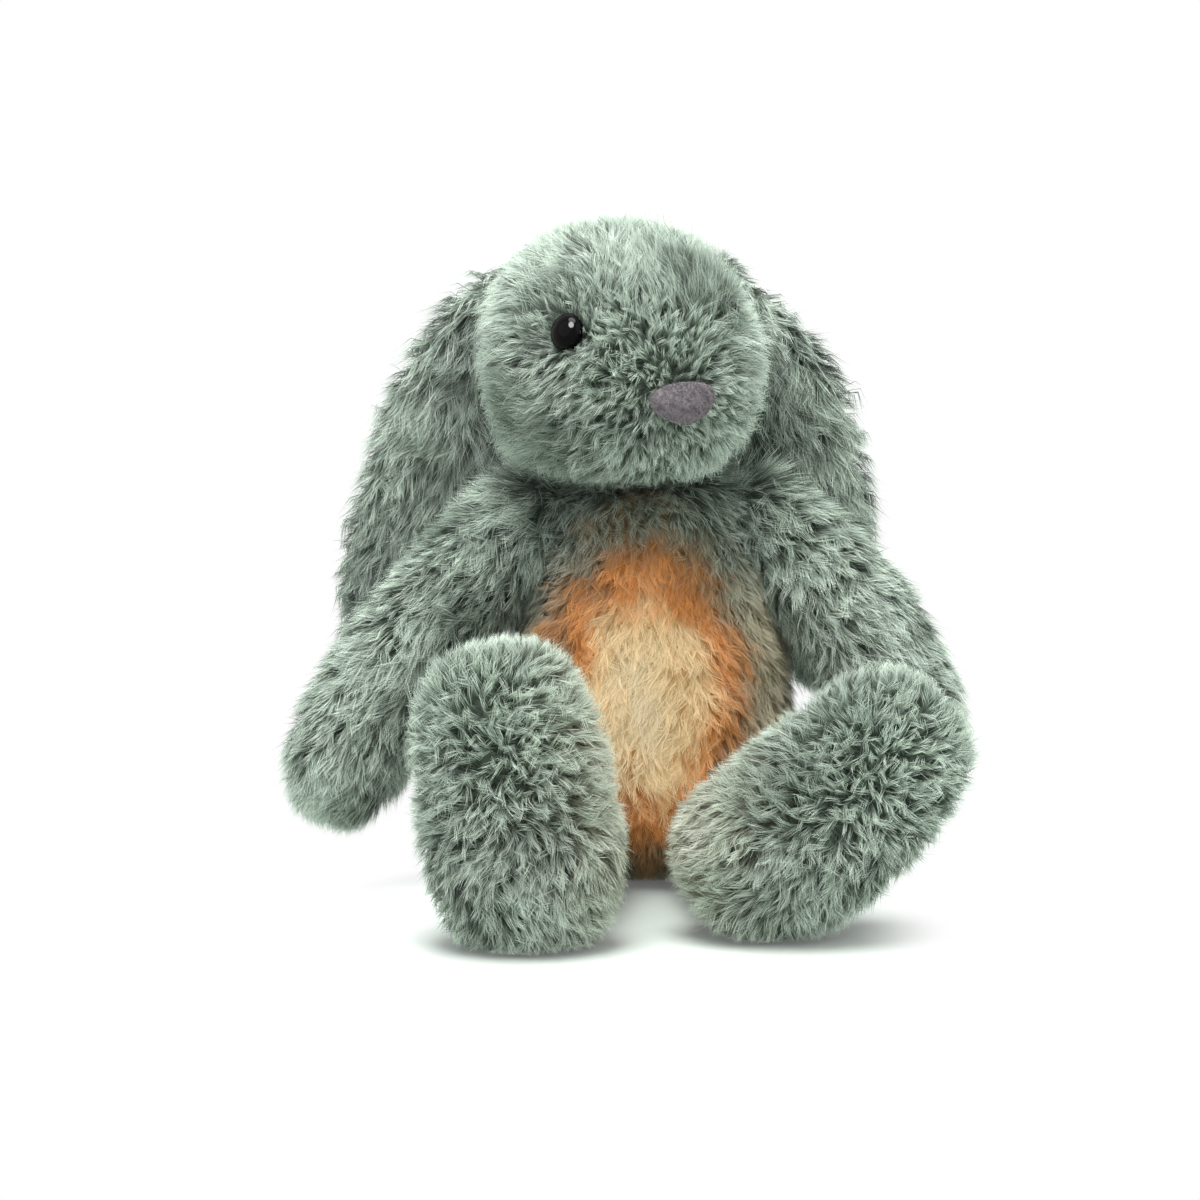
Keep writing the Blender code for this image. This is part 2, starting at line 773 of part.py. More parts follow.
def make_dome(module):
    """The push dome: a frosted shell with a flange under the bezel and a stem over the switch."""
    flange_top = housing_height + bezel_height - bezel_lip
    flange_low = flange_top - dome_wall
    crown = flange_top + dome_height
    rise = crown - flange_top - bezel_lip
    outer = [(dome_radius * across, crown - rise * (1 - up)) for across, up in quarter_arc(dome_steps)]
    inner_radius = dome_radius - dome_wall
    inner_rise = rise - dome_wall
    inner = [(inner_radius * across, crown - dome_wall - inner_rise * (1 - up))
             for across, up in reversed(quarter_arc(dome_steps)) if inner_radius * across > stem_radius]
    stem_low = plunger_top + seat_gap
    flange = [(dome_radius, flange_top), (dome_flange_radius, flange_top), (dome_flange_radius, flange_low),
              (inner_radius, flange_low)]
    stem = [(stem_radius, inner[-1][1]), (stem_radius, stem_low), (0, stem_low)]
    profile = outer + flange + inner + stem
    return turned("push_dome", profile, frosted, module)


def make_board(module):
    board = turned("circuit_board", rod_profile(
        board_radius, board_low, board_low + board_thickness), board_green, module)
    switch_low = board_low + board_thickness + seat_gap
    switch_top = switch_low + switch_height
    switch = add_object("tact_switch", box_mesh("tact_switch", (switch_width, switch_width, switch_height)),
                        black_plastic, module)
    switch.location.z = switch_low + switch_height / 2
    bore = turned("switch_bore", rod_profile(
        plunger_radius + seat_gap, plunger_low - dome_travel - seat_gap, switch_top + overrun),
        steps=small_steps, parent=module)
    bore.location.z = -switch.location.z
    bore.parent = switch
    add_boolean(switch, bore)
    turned("switch_plunger", rod_profile(plunger_radius, plunger_low, plunger_top), steel, module, small_steps)


def repeated(name, mesh, places, material, parent):
    """Copies of one piece, each a node of its own that shares the mesh."""
    for index, place in enumerate(places, start=1):
        copy = add_object(f"{name}_{index}", mesh, parent=parent)
        rabbit.objects.link(copy)
        cutters.objects.unlink(copy)
        copy.hide_render = False
        copy.display_type = "TEXTURED"
        copy.matrix_local = place
    mesh.materials.clear()
    mesh.materials.append(material)


def evaluated_mesh(obj):
    """The object's mesh with its modifiers, as plain data. The object is removed."""
    graph = bpy.context.evaluated_depsgraph_get()
    mesh = bpy.data.meshes.new_from_object(obj.evaluated_get(graph))
    bm = bmesh.new()
    bm.from_mesh(mesh)
    bmesh.ops.remove_doubles(bm, verts=bm.verts, dist=weld_gap)
    bm.to_mesh(mesh)
    bm.free()
    bpy.data.objects.remove(obj, do_unlink=True)
    return mesh


def make_leds(module):
    base = board_low + board_thickness + seat_gap
    dome = [(led_radius * across, led_height - led_radius * (1 - up)) for across, up in quarter_arc(led_steps)]
    led = evaluated_mesh(turned("led_shape", dome + [(led_radius, 0), (0, 0)], steps=small_steps))
    places = []
    for index in range(led_count):
        x, y = on_circle(led_circle_radius, index, led_count)
        places.append(Matrix.Translation((x, y, base)))
    repeated("led", led, places, warm_led, module)


def make_reflector(module):
    """A white dish round the switch: it stands on the board and its slope sends the light forward."""
    base = board_low + board_thickness + seat_gap
    rim = base + led_height
    reflector = turned("reflector", [
        (reflector_inner_radius, base + reflector_wall),
        (led_circle_radius + led_radius, base + reflector_wall),
        (reflector_outer_radius - reflector_wall, rim), (reflector_outer_radius, rim),
        (led_circle_radius + led_radius + reflector_wall, base), (reflector_inner_radius, base)][::-1],
        white_plastic, module)
    for index in range(led_count):
        x, y = on_circle(led_circle_radius, index, led_count)
        hole = turned(f"reflector_hole_{index}", rod_profile(
            led_radius + seat_gap, base - overrun, rim + overrun), steps=small_steps, parent=module)
        hole.location = (x, y, 0)
        add_boolean(reflector, hole)
    return reflector


def make_screws(module):
    screw_profile = [(0, 0), (screw_head_radius, 0), (screw_head_radius, -screw_head_height),
                     (screw_radius, -screw_head_height), (screw_radius, -screw_length), (0, -screw_length)]
    upward = Matrix.Rotation(math.pi, 4, "X")
    screw = evaluated_mesh(turned("screw_shape", screw_profile, steps=small_steps))
    places = []
    for index in range(screw_count):
        x, y = on_circle(boss_circle_radius, index, screw_count, screw_turn)
        places.append(Matrix.Translation((x, y, 0)) @ upward)
    repeated("housing_screw", screw, places, steel, module)
    door_screw_profile = [(0, door_head), (screw_head_radius, door_head), (screw_head_radius, seat_gap),
                          (screw_radius, seat_gap), (screw_radius, -door_screw_length), (0, -door_screw_length)]
    door_screw = turned("door_screw", door_screw_profile, steel, module, small_steps)
    door_screw.rotation_euler.x = math.pi
    door_screw.location.y = door_screw_y


def make_door(module):
    door_size = (door_length, door_width, door_thickness)
    door_mesh = box_mesh("battery_door", door_size, corner_radius)
    door = add_object("battery_door", door_mesh, module_plastic, module)
    door.location.z = door_thickness / 2
    tab_size = (door_tab_width, door_tab_reach, door_thickness)
    tab = add_object("door_tab", box_mesh("door_tab", tab_size, corner_radius), parent=door)
    tab.location.y = door_tab_y
    add_boolean(door, tab, "UNION")
    hole_profile = rod_profile(screw_radius + seat_gap, -overrun, overrun)
    hole = turned("door_hole", hole_profile, steps=small_steps, parent=door)
    hole.location.y = door_screw_y
    add_boolean(door, hole)
    for index in range(grip_count):
        groove_size = (grip_length, grip_width, grip_depth * 2)
        groove = add_object(f"door_grip_{index}", box_mesh("door_grip", groove_size), parent=door)
        groove.location = (0, grip_start + index * 2 * grip_width, -door_thickness / 2)
        add_boolean(door, groove)


def make_cells(module):
    half = cell_length / 2
    body = half - cell_nub_height
    profile = [(0, half), (cell_nub_radius, half), (cell_nub_radius, body), (cell_radius, body),
               (cell_radius, -half), (0, -half)]
    for index in range(cell_count):
        flip = -1 if index % 2 else 1
        y = (index - (cell_count - 1) / 2) * cell_pitch
        cell = turned(f"battery_cell_{index + 1}", profile, cell_sleeve, module, steps=cell_steps)
        cell.rotation_euler.y = flip * math.pi / 2
        cell.location = (flip * cell_shift, y, cell_centre_z)


def make_contacts(module):
    wall = bay_length / 2
    plate_mesh = box_mesh("plate_shape", (contact_thickness, contact_width, contact_width))
    plates = []
    springs = []
    for index in range(cell_count):
        flip = -1 if index % 2 else 1
        y = (index - (cell_count - 1) / 2) * cell_pitch
        for end in (-1, 1):
            x = end * (wall - seat_gap - contact_thickness / 2)
            plates.append(Matrix.Translation((x, y, cell_centre_z)))
        springs.append(Matrix.Translation((-flip * (wall - 2 * seat_gap - contact_thickness), y, cell_centre_z))
                       @ Matrix.Rotation(flip * math.pi / 2, 4, "Y"))
    repeated("contact_plate", plate_mesh, plates, steel, module)
    repeated("contact_spring", spring_mesh(), springs, steel, module)


def spring_mesh():
    """A conical contact spring, wound from its base at zero to its tip."""
    curve = bpy.data.curves.new("spring_shape", "CURVE")
    curve.dimensions = "3D"
    curve.bevel_depth = wire_radius
    curve.bevel_resolution = 1
    curve.use_fill_caps = True
    spline = curve.splines.new("POLY")
    count = spring_turns * coil_steps
    spline.points.add(count)
    for index, point in enumerate(spline.points):
        share = index / count
        radius = spring_radius + (spring_tip_radius - spring_radius) * share
        angle = 2 * math.pi * spring_turns * share
        height = wire_radius + (spring_length - 2 * wire_radius) * share
        point.co = (radius * math.cos(angle), radius * math.sin(angle), height, 1)
    return evaluated_mesh(add_object("spring_shape", curve))


def make_pouch(module):
    """The lining bag round the module, with a gathered hem that leaves the battery side open."""
    front = module_height + seat_gap
    outer = pouch_inner_radius + pouch_wall
    rear = -2 * seat_gap
    return turned("lining_pouch", [
        (0, front + pouch_wall), (pouch_nose_radius, front + pouch_wall), (outer, pouch_shoulder + pouch_wall),
        (outer, rear - pouch_wall), (pouch_hem_radius, rear - pouch_wall), (pouch_hem_radius, rear),
        (pouch_inner_radius, rear), (pouch_inner_radius, pouch_shoulder),
        (pouch_nose_radius, front), (0, front)],
        belly_fabric, module)


def make_flap(module):
    """The access flap: the torso's own back skin with its wadding, cut free by a round seam."""
    bm = bmesh.new()
    bmesh.ops.create_cone(bm, cap_ends=True, segments=turned_steps, radius1=flap_radius,
                          radius2=flap_radius * flap_plug_share, depth=flap_reach)
    bmesh.ops.translate(bm, vec=(0, 0, -flap_reach / 2), verts=bm.verts)
    bmesh.ops.transform(bm, matrix=module.matrix_world @ Matrix.Translation((0, 0, flap_front)), verts=bm.verts)
    flap = add_object("pocket_flap", mesh_from("pocket_flap", bm), fur)
    shape = add_object("flap_shape", torso_mesh("flap_shape"))
    add_subdivision(shape)
    add_boolean(flap, shape, "INTERSECT")
    set_origin(flap, flap_pivot)
    return flap


def make_tapes(module, flap):
    tape_y = -(pouch_hem_radius + pouch_inner_radius) / 2
    hem_face = -2 * seat_gap - pouch_wall
    tape_size = (tape_length, tape_width, tape_thickness)
    loop = add_object("loop_tape", box_mesh("loop_tape", tape_size), loop_fabric, module)
    loop.location = (0, tape_y, hem_face - seat_gap - tape_thickness / 2)
    hook = add_object("hook_tape", box_mesh("hook_tape", tape_size), hook_plastic)
    face = hem_face - 2 * seat_gap - tape_thickness
    place = module.matrix_world @ Matrix.Translation((0, tape_y, face - tape_thickness / 2))
    hook.data.transform(Matrix.Translation(-flap_pivot) @ place)
    hook.parent = flap


def cut_pocket(torso, module):
    """The torso's pocket: a well for the pouch, and the flap's tapered mouth."""
    outer = pouch_inner_radius + pouch_wall + seat_gap
    front = module_height + pouch_wall + 2 * seat_gap
    well = turned("pocket_well", [
        (0, front), (pouch_nose_radius + seat_gap, front), (outer, pouch_shoulder + pouch_wall + seat_gap),
        (outer, flap_front - overrun), (0, flap_front - overrun)], parent=module)
    add_boolean(torso, well)
    mouth_gap = joint_gap
    low = flap_front - flap_reach - overrun
    slope = flap_radius * (1 - flap_plug_share) / flap_reach
    mouth = turned("pocket_mouth", [
        (0, flap_front + seat_gap), (flap_radius * flap_plug_share + mouth_gap, flap_front + seat_gap),
        (flap_radius + mouth_gap + slope * overrun, low), (0, low)], parent=module)
    add_boolean(torso, mouth)


right_ear_spine = spine_from(
    skull_centre + Vector(right_ear_root_shares) * skull_radius, right_ear_spine_shares, ear_length)
left_ear_spine = spine_from(
    skull_centre + Vector(left_ear_root_shares) * skull_radius, left_ear_spine_shares, ear_length)
right_arm_spine = spine_from(placed_in_torso(right_shoulder_shares), right_arm_spine_shares, arm_length)
left_arm_spine = spine_from(placed_in_torso(left_shoulder_shares), left_arm_spine_shares, arm_length)
right_thigh_spine = spine_from(placed_in_torso(right_hip_shares), right_thigh_spine_shares, leg_length)
left_thigh_spine = spine_from(placed_in_torso(left_hip_shares), left_thigh_spine_shares, leg_length)
right_foot_spine = spine_from(
    right_thigh_spine[0] + Vector(right_heel_shares) * leg_length, right_foot_spine_shares, foot_length)
left_foot_spine = spine_from(
    left_thigh_spine[0] + Vector(left_heel_shares) * leg_length, left_foot_spine_shares, foot_length)

washer_plastic = finish_material("washer_white", (0.85, 0.85, 0.83, 1), 0.5)
module_plastic = finish_material("module_white", (0.82, 0.81, 0.78, 1), 0.45)
white_plastic = finish_material("reflector_white", (0.92, 0.92, 0.90, 1), 0.3)
frosted = finish_material("dome_frosted", (0.95, 0.90, 0.80, 1), 0.35)
board_green = finish_material("board_green", (0.04, 0.20, 0.09, 1), 0.4)
black_plastic = finish_material("switch_black", (0.02, 0.02, 0.02, 1), 0.45)
steel = finish_material("plated_steel", (0.60, 0.60, 0.58, 1), 0.3, 1.0)
warm_led = finish_material("led_amber", (0.98, 0.62, 0.20, 1), 0.2)
cell_sleeve = finish_material("cell_sleeve", (0.10, 0.16, 0.12, 1), 0.35)
loop_fabric = finish_material("loop_tape_grey", (0.45, 0.46, 0.44, 1), 0.95)
hook_plastic = finish_material("hook_tape_grey", (0.38, 0.39, 0.37, 1), 0.8)

floor_block = floor_cutter()
torso_cutter = swollen_torso("torso_cutter", seat_gap)
head_cutter = swollen_head("head_cutter", seat_gap)

module = bpy.data.objects.new("light_module", None)
rabbit.objects.link(module)
module.matrix_world = Matrix.Translation((torso_centre_x, module_rear_y, module_centre_z)) @ Matrix.Rotation(
    math.pi / 2, 4, "X")
bpy.context.view_layer.update()

torso = make_torso()
head = make_head()
head_inverse = Matrix.Translation(-neck_pivot)
cut_socket(torso, "neck_socket", neck_pivot, neck_ball_radius)
add_sweep(torso, head_cutter, neck_pivot, "X", head_nod_range)
for side, ear_spine, arm_spine, thigh_spine, foot_spine in (
        ("right", right_ear_spine, right_arm_spine, right_thigh_spine, right_foot_spine),
        ("left", left_ear_spine, left_arm_spine, left_thigh_spine, left_foot_spine)):
    make_ear(side, ear_spine, head_cutter)
    cut_socket(head, f"ear_socket_{side}", ear_spine[0], ear_root_radius)
    make_arm(side, arm_spine)
    cut_socket(torso, f"shoulder_socket_{side}", arm_spine[0], arm_root_radius)
    make_leg(side, thigh_spine, foot_spine)
    cut_socket(torso, f"hip_socket_{side}", thigh_spine[0], hip_radius)
make_tail()
make_face(head)
make_nose(head)
make_housing(module)
make_bezel(module)
make_dome(module)
make_board(module)
make_leds(module)
make_reflector(module)
make_screws(module)
make_door(module)
make_cells(module)
make_contacts(module)
make_pouch(module)
flap = make_flap(module)
make_tapes(module, flap)
cut_pocket(torso, module)
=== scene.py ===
import json
import math

import bmesh
import bpy
import numpy as np
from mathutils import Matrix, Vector
from mathutils.bvhtree import BVHTree


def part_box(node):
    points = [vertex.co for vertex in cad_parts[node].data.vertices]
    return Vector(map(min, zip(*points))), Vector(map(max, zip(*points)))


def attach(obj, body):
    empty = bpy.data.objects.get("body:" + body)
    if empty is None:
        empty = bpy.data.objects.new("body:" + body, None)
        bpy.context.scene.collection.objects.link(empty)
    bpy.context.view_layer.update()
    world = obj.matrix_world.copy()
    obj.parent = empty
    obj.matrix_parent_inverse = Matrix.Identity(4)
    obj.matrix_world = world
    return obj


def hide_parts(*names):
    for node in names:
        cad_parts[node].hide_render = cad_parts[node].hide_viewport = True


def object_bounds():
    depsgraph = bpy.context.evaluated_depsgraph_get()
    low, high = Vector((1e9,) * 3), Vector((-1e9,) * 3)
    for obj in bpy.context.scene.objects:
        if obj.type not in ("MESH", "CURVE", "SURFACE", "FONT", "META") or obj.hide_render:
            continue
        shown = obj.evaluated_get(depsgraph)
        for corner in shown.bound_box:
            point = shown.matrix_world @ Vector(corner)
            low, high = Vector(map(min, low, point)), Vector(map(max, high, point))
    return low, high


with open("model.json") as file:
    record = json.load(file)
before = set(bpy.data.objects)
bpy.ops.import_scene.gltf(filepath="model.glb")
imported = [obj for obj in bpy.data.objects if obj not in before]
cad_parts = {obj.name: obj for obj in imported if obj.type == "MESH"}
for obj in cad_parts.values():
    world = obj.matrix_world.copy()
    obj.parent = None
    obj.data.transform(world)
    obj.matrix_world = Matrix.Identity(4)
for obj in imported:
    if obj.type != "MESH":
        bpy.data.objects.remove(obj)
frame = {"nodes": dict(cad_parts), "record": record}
cadBox = [list(corner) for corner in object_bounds()]
cadLow, cadHigh = np.array(cadBox)
nodes = frame["nodes"]

# Colours of the pile from root to tip, of its backing, and of the glow from its heart outwards. The dark root and the
# backing are painted shade deep in the pile; the glow and the spill are the inner lamp's light painted onto the pile
colours = {
    "root": (0.034, 0.050, 0.035),
    "middle": (0.138, 0.188, 0.141),
    "tip": (0.715, 0.850, 0.730),
    "backing": (0.080, 0.110, 0.081),
    "glowHeart": (0.610, 0.530, 0.355),
    "glowCream": (0.620, 0.480, 0.260),
    "glowOrange": (0.550, 0.228, 0.050),
    "glowBrown": (0.36, 0.185, 0.066),
    "glowRim": (0.22, 0.200, 0.105),
    "spill": (0.66, 0.60, 0.42),
}


def newObject(name, mesh):
    obj = bpy.data.objects.new(name, mesh)
    bpy.context.scene.collection.objects.link(obj)
    return obj


# Materials

def newMaterial(name, roughness=0.6, specular=0.3):
    material = bpy.data.materials.new(name)
    material.use_nodes = True
    shader = material.node_tree.nodes["Principled BSDF"]
    shader.inputs["Roughness"].default_value = roughness
    shader.inputs["Specular IOR Level"].default_value = specular
    return material, material.node_tree.nodes, material.node_tree.links, shader


def addRamp(tree, stops):
    ramp = tree.new("ShaderNodeValToRGB")
    elements = ramp.color_ramp.elements
    while len(elements) > 1:
        elements.remove(elements[-1])
    elements[0].position, elements[0].color = stops[0][0], (*stops[0][1], 1)
    for position, colour in stops[1:]:
        elements.new(position).color = (*colour, 1)
    return ramp


def mixColours(tree, links, factor, first, second, blend="MIX"):
    mix = tree.new("ShaderNodeMix")
    mix.data_type = "RGBA"
    mix.blend_type = blend
    for socket, value in ((mix.inputs[0], factor), (mix.inputs[6], first), (mix.inputs[7], second)):
        if isinstance(value, bpy.types.NodeSocket):
            links.new(value, socket)
        else:
            socket.default_value = value
    return mix.outputs[2]


def addNoise(tree, links, place, scale, detail=3):
    noise = tree.new("ShaderNodeTexNoise")
    noise.inputs["Scale"].default_value = scale
    noise.inputs["Detail"].default_value = detail
    links.new(place, noise.inputs["Vector"])
    return noise.outputs["Fac"]


def addBump(tree, links, shader, height, depth, strength=1.0):
    bump = tree.new("ShaderNodeBump")
    bump.inputs["Strength"].default_value = strength
    bump.inputs["Distance"].default_value = depth
    links.new(height, bump.inputs["Height"])
    links.new(bump.outputs[0], shader.inputs["Normal"])


# Strands: dark roots, which are painted shade deep in the pile, pale tips, each tuft a little lighter or darker, and
# warm over the lamp, where the lamp's light is painted into their colour and glow
def pileMaterial():
    material, tree, links, shader = newMaterial("sage_pile", 0.60, 0.20)
    facts = tree.new("ShaderNodeAttribute")
    facts.attribute_name = "pile"
    parts = tree.new("ShaderNodeSeparateColor")
    links.new(facts.outputs["Color"], parts.inputs[0])
    along, tone, warmth = parts.outputs
    sage = addRamp(tree, [(0.0, colours["root"]), (0.50, colours["middle"]), (1.0, colours["tip"])])
    links.new(along, sage.inputs[0])
    lit = addRamp(tree, [(0.0, colours["glowHeart"]), (0.40, colours["glowCream"]), (0.58, colours["glowOrange"]),
                         (0.75, colours["glowBrown"]), (0.90, colours["glowRim"])])
    links.new(warmth, lit.inputs[0])
    # Painted shade: the lit strands darker towards their roots
    shade = addRamp(tree, [(0.0, (0.74, 0.68, 0.60)), (0.5, (0.92, 0.90, 0.87)), (1.0, (1.10, 1.12, 1.16))])
    links.new(along, shade.inputs[0])
    litShaded = mixColours(tree, links, 1.0, lit.outputs[0], shade.outputs[0], "MULTIPLY")
    edge = addRamp(tree, [(0.70, (1, 1, 1)), (1.0, (0, 0, 0))])
    links.new(warmth, edge.inputs[0])
    both = mixColours(tree, links, edge.outputs[0], sage.outputs[0], litShaded)
    tones = addRamp(tree, [(0.0, (0.42, 0.44, 0.42)), (0.5, (1, 1, 1)), (1.0, (1.36, 1.32, 1.34))])
    links.new(tone, tones.inputs[0])
    toned = mixColours(tree, links, 1.0, both, tones.outputs[0], "MULTIPLY")
    # Painted light: the lamp's light on the pile beside the glow, mixed into the base colour
    spilt = mixColours(tree, links, 1.0, shade.outputs[0], (*colours["spill"], 1), "MULTIPLY")
    spillLit = mixColours(tree, links, facts.outputs["Alpha"], toned, spilt)
    links.new(spillLit, shader.inputs["Base Color"])
    glowEdge = addRamp(tree, [(0.45, (1, 1, 1)), (0.80, (0.14, 0.14, 0.14)), (0.96, (0, 0, 0))])
    links.new(warmth, glowEdge.inputs[0])
    shine = mixColours(tree, links, 1.0, litShaded, glowEdge.outputs[0], "MULTIPLY")
    links.new(shine, shader.inputs["Emission Color"])
    shader.inputs["Emission Strength"].default_value = glow["emission"]
    shader.inputs["Sheen Weight"].default_value = 0.12
    shader.inputs["Sheen Roughness"].default_value = 0.5
    shader.inputs["Sheen Tint"].default_value = (0.95, 1.0, 0.95, 1)
    return material


# Threads and blotches in waves to a metre, how uneven the threads are, and how deep
knit = {"threads": 260, "ragged": 2.0, "blotches": 90, "depth": 0.0004, "strength": 0.4}


# The knitted backing that the pile stands in, as dark as the pile's roots: painted shade deep in the pile. Over the
# lamp it takes the painted glow
def backingMaterial():
    material, tree, links, shader = newMaterial("sage_backing", 0.95, 0.1)
    place = tree.new("ShaderNodeTexCoord").outputs["Object"]
    rows = tree.new("ShaderNodeTexWave")
    rows.inputs["Scale"].default_value = knit["threads"]
    rows.inputs["Distortion"].default_value = knit["ragged"]
    links.new(place, rows.inputs["Vector"])
    tone = addRamp(tree, [(0.3, tuple(0.7 * c for c in colours["backing"])), (0.7, colours["backing"])])
    links.new(addNoise(tree, links, place, knit["blotches"]), tone.inputs[0])
    lamp = tree.new("ShaderNodeAttribute")
    lamp.attribute_name = "lamp"
    lit = addRamp(tree, [(0.0, (0, 0, 0)), (0.25, colours["glowBrown"]), (0.5, colours["glowOrange"]),
                         (0.8, colours["glowCream"])])
    links.new(lamp.outputs["Fac"], lit.inputs[0])
    share = addRamp(tree, [(0.05, (0, 0, 0)), (0.35, (1, 1, 1))])
    links.new(lamp.outputs["Fac"], share.inputs[0])
    links.new(mixColours(tree, links, share.outputs[0], tone.outputs[0], lit.outputs[0]), shader.inputs["Base Color"])
    links.new(lit.outputs[0], shader.inputs["Emission Color"])
    shader.inputs["Emission Strength"].default_value = 0.5 * glow["emission"]
    addBump(tree, links, shader, rows.outputs["Fac"], knit["depth"], knit["strength"])
    return material


# Velour of the nose: dark in its nap, paler where it catches the light
def velourMaterial():
    material, tree, links, shader = newMaterial("nose_velour", 0.75, 0.15)
    place = tree.new("ShaderNodeTexCoord").outputs["Object"]
    nap = addRamp(tree, [(0.25, nose["dark"]), (0.62, nose["pale"])])
    links.new(addNoise(tree, links, place, nose["blotches"], 4), nap.inputs[0])
    links.new(nap.outputs[0], shader.inputs["Base Color"])
    shader.inputs["Sheen Weight"].default_value = 0.5
    shader.inputs["Sheen Roughness"].default_value = 0.4
    addBump(tree, links, shader, addNoise(tree, links, place, nose["nap"]), nose["depth"])
    return material


# Polished black with a trace of brown, as moulded eyes are
def eyeMaterial():
    material, tree, links, shader = newMaterial("eye_gloss", eye["roughness"], eye["specular"])
    place = tree.new("ShaderNodeTexCoord").outputs["Object"]
    depth = addRamp(tree, [(0.4, eye["black"]), (0.8, eye["brown"])])
    links.new(addNoise(tree, links, place, eye["clouds"]), depth.inputs[0])
    links.new(depth.outputs[0], shader.inputs["Base Color"])
    return material


# Hard and woven finishes, each from its row of finishes: blotches, grain, and what else the row names
def solidMaterial(name, facts):
    material, tree, links, shader = newMaterial(name, facts["rough"][0], 0.45)
    coords = tree.new("ShaderNodeTexCoord")
    place = coords.outputs["Object"]
    coarse = addNoise(tree, links, place, facts["grain"] * finishing["blotchShare"])
    tone = addRamp(tree, [(0.32, facts["dark"]), (0.68, facts["pale"])])
    links.new(coarse, tone.inputs[0])
    colour = tone.outputs[0]
    grain = addNoise(tree, links, place, facts["grain"])
    rough = tree.new("ShaderNodeMapRange")
    rough.inputs["To Min"].default_value = facts["rough"][0]
    rough.inputs["To Max"].default_value = facts["rough"][1]
    links.new(grain, rough.inputs["Value"])
    links.new(rough.outputs[0], shader.inputs["Roughness"])
    height = grain
    if "weave" in facts:
        threads = []
        for direction in ("X", "Z"):
            wave = tree.new("ShaderNodeTexWave")
            wave.bands_direction = direction
            wave.inputs["Scale"].default_value = facts["weave"] / math.tau
            wave.inputs["Distortion"].default_value = finishing["ragged"]
            links.new(place, wave.inputs["Vector"])
            threads.append(wave.outputs["Fac"])
        cross = tree.new("ShaderNodeMath")
        cross.operation = "MULTIPLY"
        links.new(threads[0], cross.inputs[0])
        links.new(threads[1], cross.inputs[1])
        height = cross.outputs[0]
        # Painted shade in the gaps between the threads
        weaveGapShade = addRamp(tree, [(0.0, (0.62, 0.62, 0.62)), (0.5, (1, 1, 1))])
        links.new(height, weaveGapShade.inputs[0])
        colour = mixColours(tree, links, 1.0, colour, weaveGapShade.outputs[0], "MULTIPLY")
    if "tracks" in facts:
        cells = tree.new("ShaderNodeTexVoronoi")
        cells.feature = "DISTANCE_TO_EDGE"
        cells.inputs["Scale"].default_value = finishing["tracks"]
        links.new(place, cells.inputs["Vector"])
        line = addRamp(tree, [(0.03, (1, 1, 1)), (0.05, (0, 0, 0))])
        links.new(cells.outputs["Distance"], line.inputs[0])
        colour = mixColours(tree, links, line.outputs[0], colour, (*facts["tracks"], 1))
        height = line.outputs[0]
    if "ends" in facts:
        spread = tree.new("ShaderNodeSeparateXYZ")
        links.new(coords.outputs["Generated"], spread.inputs[0])
        ends = addRamp(tree, [(0.0, (1, 1, 1)), (0.030, (1, 1, 1)), (0.036, (0, 0, 0)), (0.940, (0, 0, 0)),
                              (0.946, (1, 1, 1))])
        links.new(spread.outputs["X"], ends.inputs[0])
        colour = mixColours(tree, links, ends.outputs[0], colour, (*facts["ends"], 1))
        links.new(ends.outputs[0], shader.inputs["Metallic"])
    links.new(colour, shader.inputs["Base Color"])
    if "metal" in facts:
        shader.inputs["Metallic"].default_value = facts["metal"]
    if "coat" in facts:
        shader.inputs["Coat Weight"].default_value = facts["coat"]
    if "scatter" in facts:
        shader.inputs["Subsurface Weight"].default_value = facts["scatter"]
        shader.inputs["Subsurface Scale"].default_value = finishing["scatterReach"]
    if "glow" in facts:
        shader.inputs["Emission Color"].default_value = (*facts["glowColour"], 1)
        shader.inputs["Emission Strength"].default_value = facts["glow"]
    addBump(tree, links, shader, height, facts["depth"])
    return material


# One tree for rays and distances out of the meshes of some CAD nodes
def cadTree(names):
    verts, faces = [], []
    for name in names:
        mesh = nodes[name].data
        start = len(verts)
        verts.extend(v.co.copy() for v in mesh.vertices)
        faces.extend([start + i for i in p.vertices] for p in mesh.polygons)
    return BVHTree.FromPolygons(verts, faces)


# Backing: the CAD form, eased and a little smaller, which carries the pile
def makeBacking(name, sunk, material, voxel=0.0022, easing=4):
    mesh = bpy.data.meshes.new("backing_" + name)
    bm = bmesh.new()
    bm.from_mesh(nodes[name].data)
    bmesh.ops.remove_doubles(bm, verts=bm.verts, dist=0.00001)
    bm.to_mesh(mesh)
    bm.free()
    obj = newObject("backing_" + name, mesh)
    remesh = obj.modifiers.new("even", "REMESH")
    remesh.mode = "VOXEL"
    remesh.voxel_size = voxel
    ease = obj.modifiers.new("ease", "SMOOTH")
    ease.factor = 0.5
    ease.iterations = easing
    shrink = obj.modifiers.new("shrink", "DISPLACE")
    shrink.strength = -sunk
    shrink.mid_level = 0
    graph = bpy.context.evaluated_depsgraph_get()
    final = bpy.data.meshes.new_from_object(obj.evaluated_get(graph))
    obj.modifiers.clear()
    obj.data = final
    final.name = "backing_" + name
    final.materials.clear()
    final.materials.append(material)
    final.shade_smooth()
    return obj


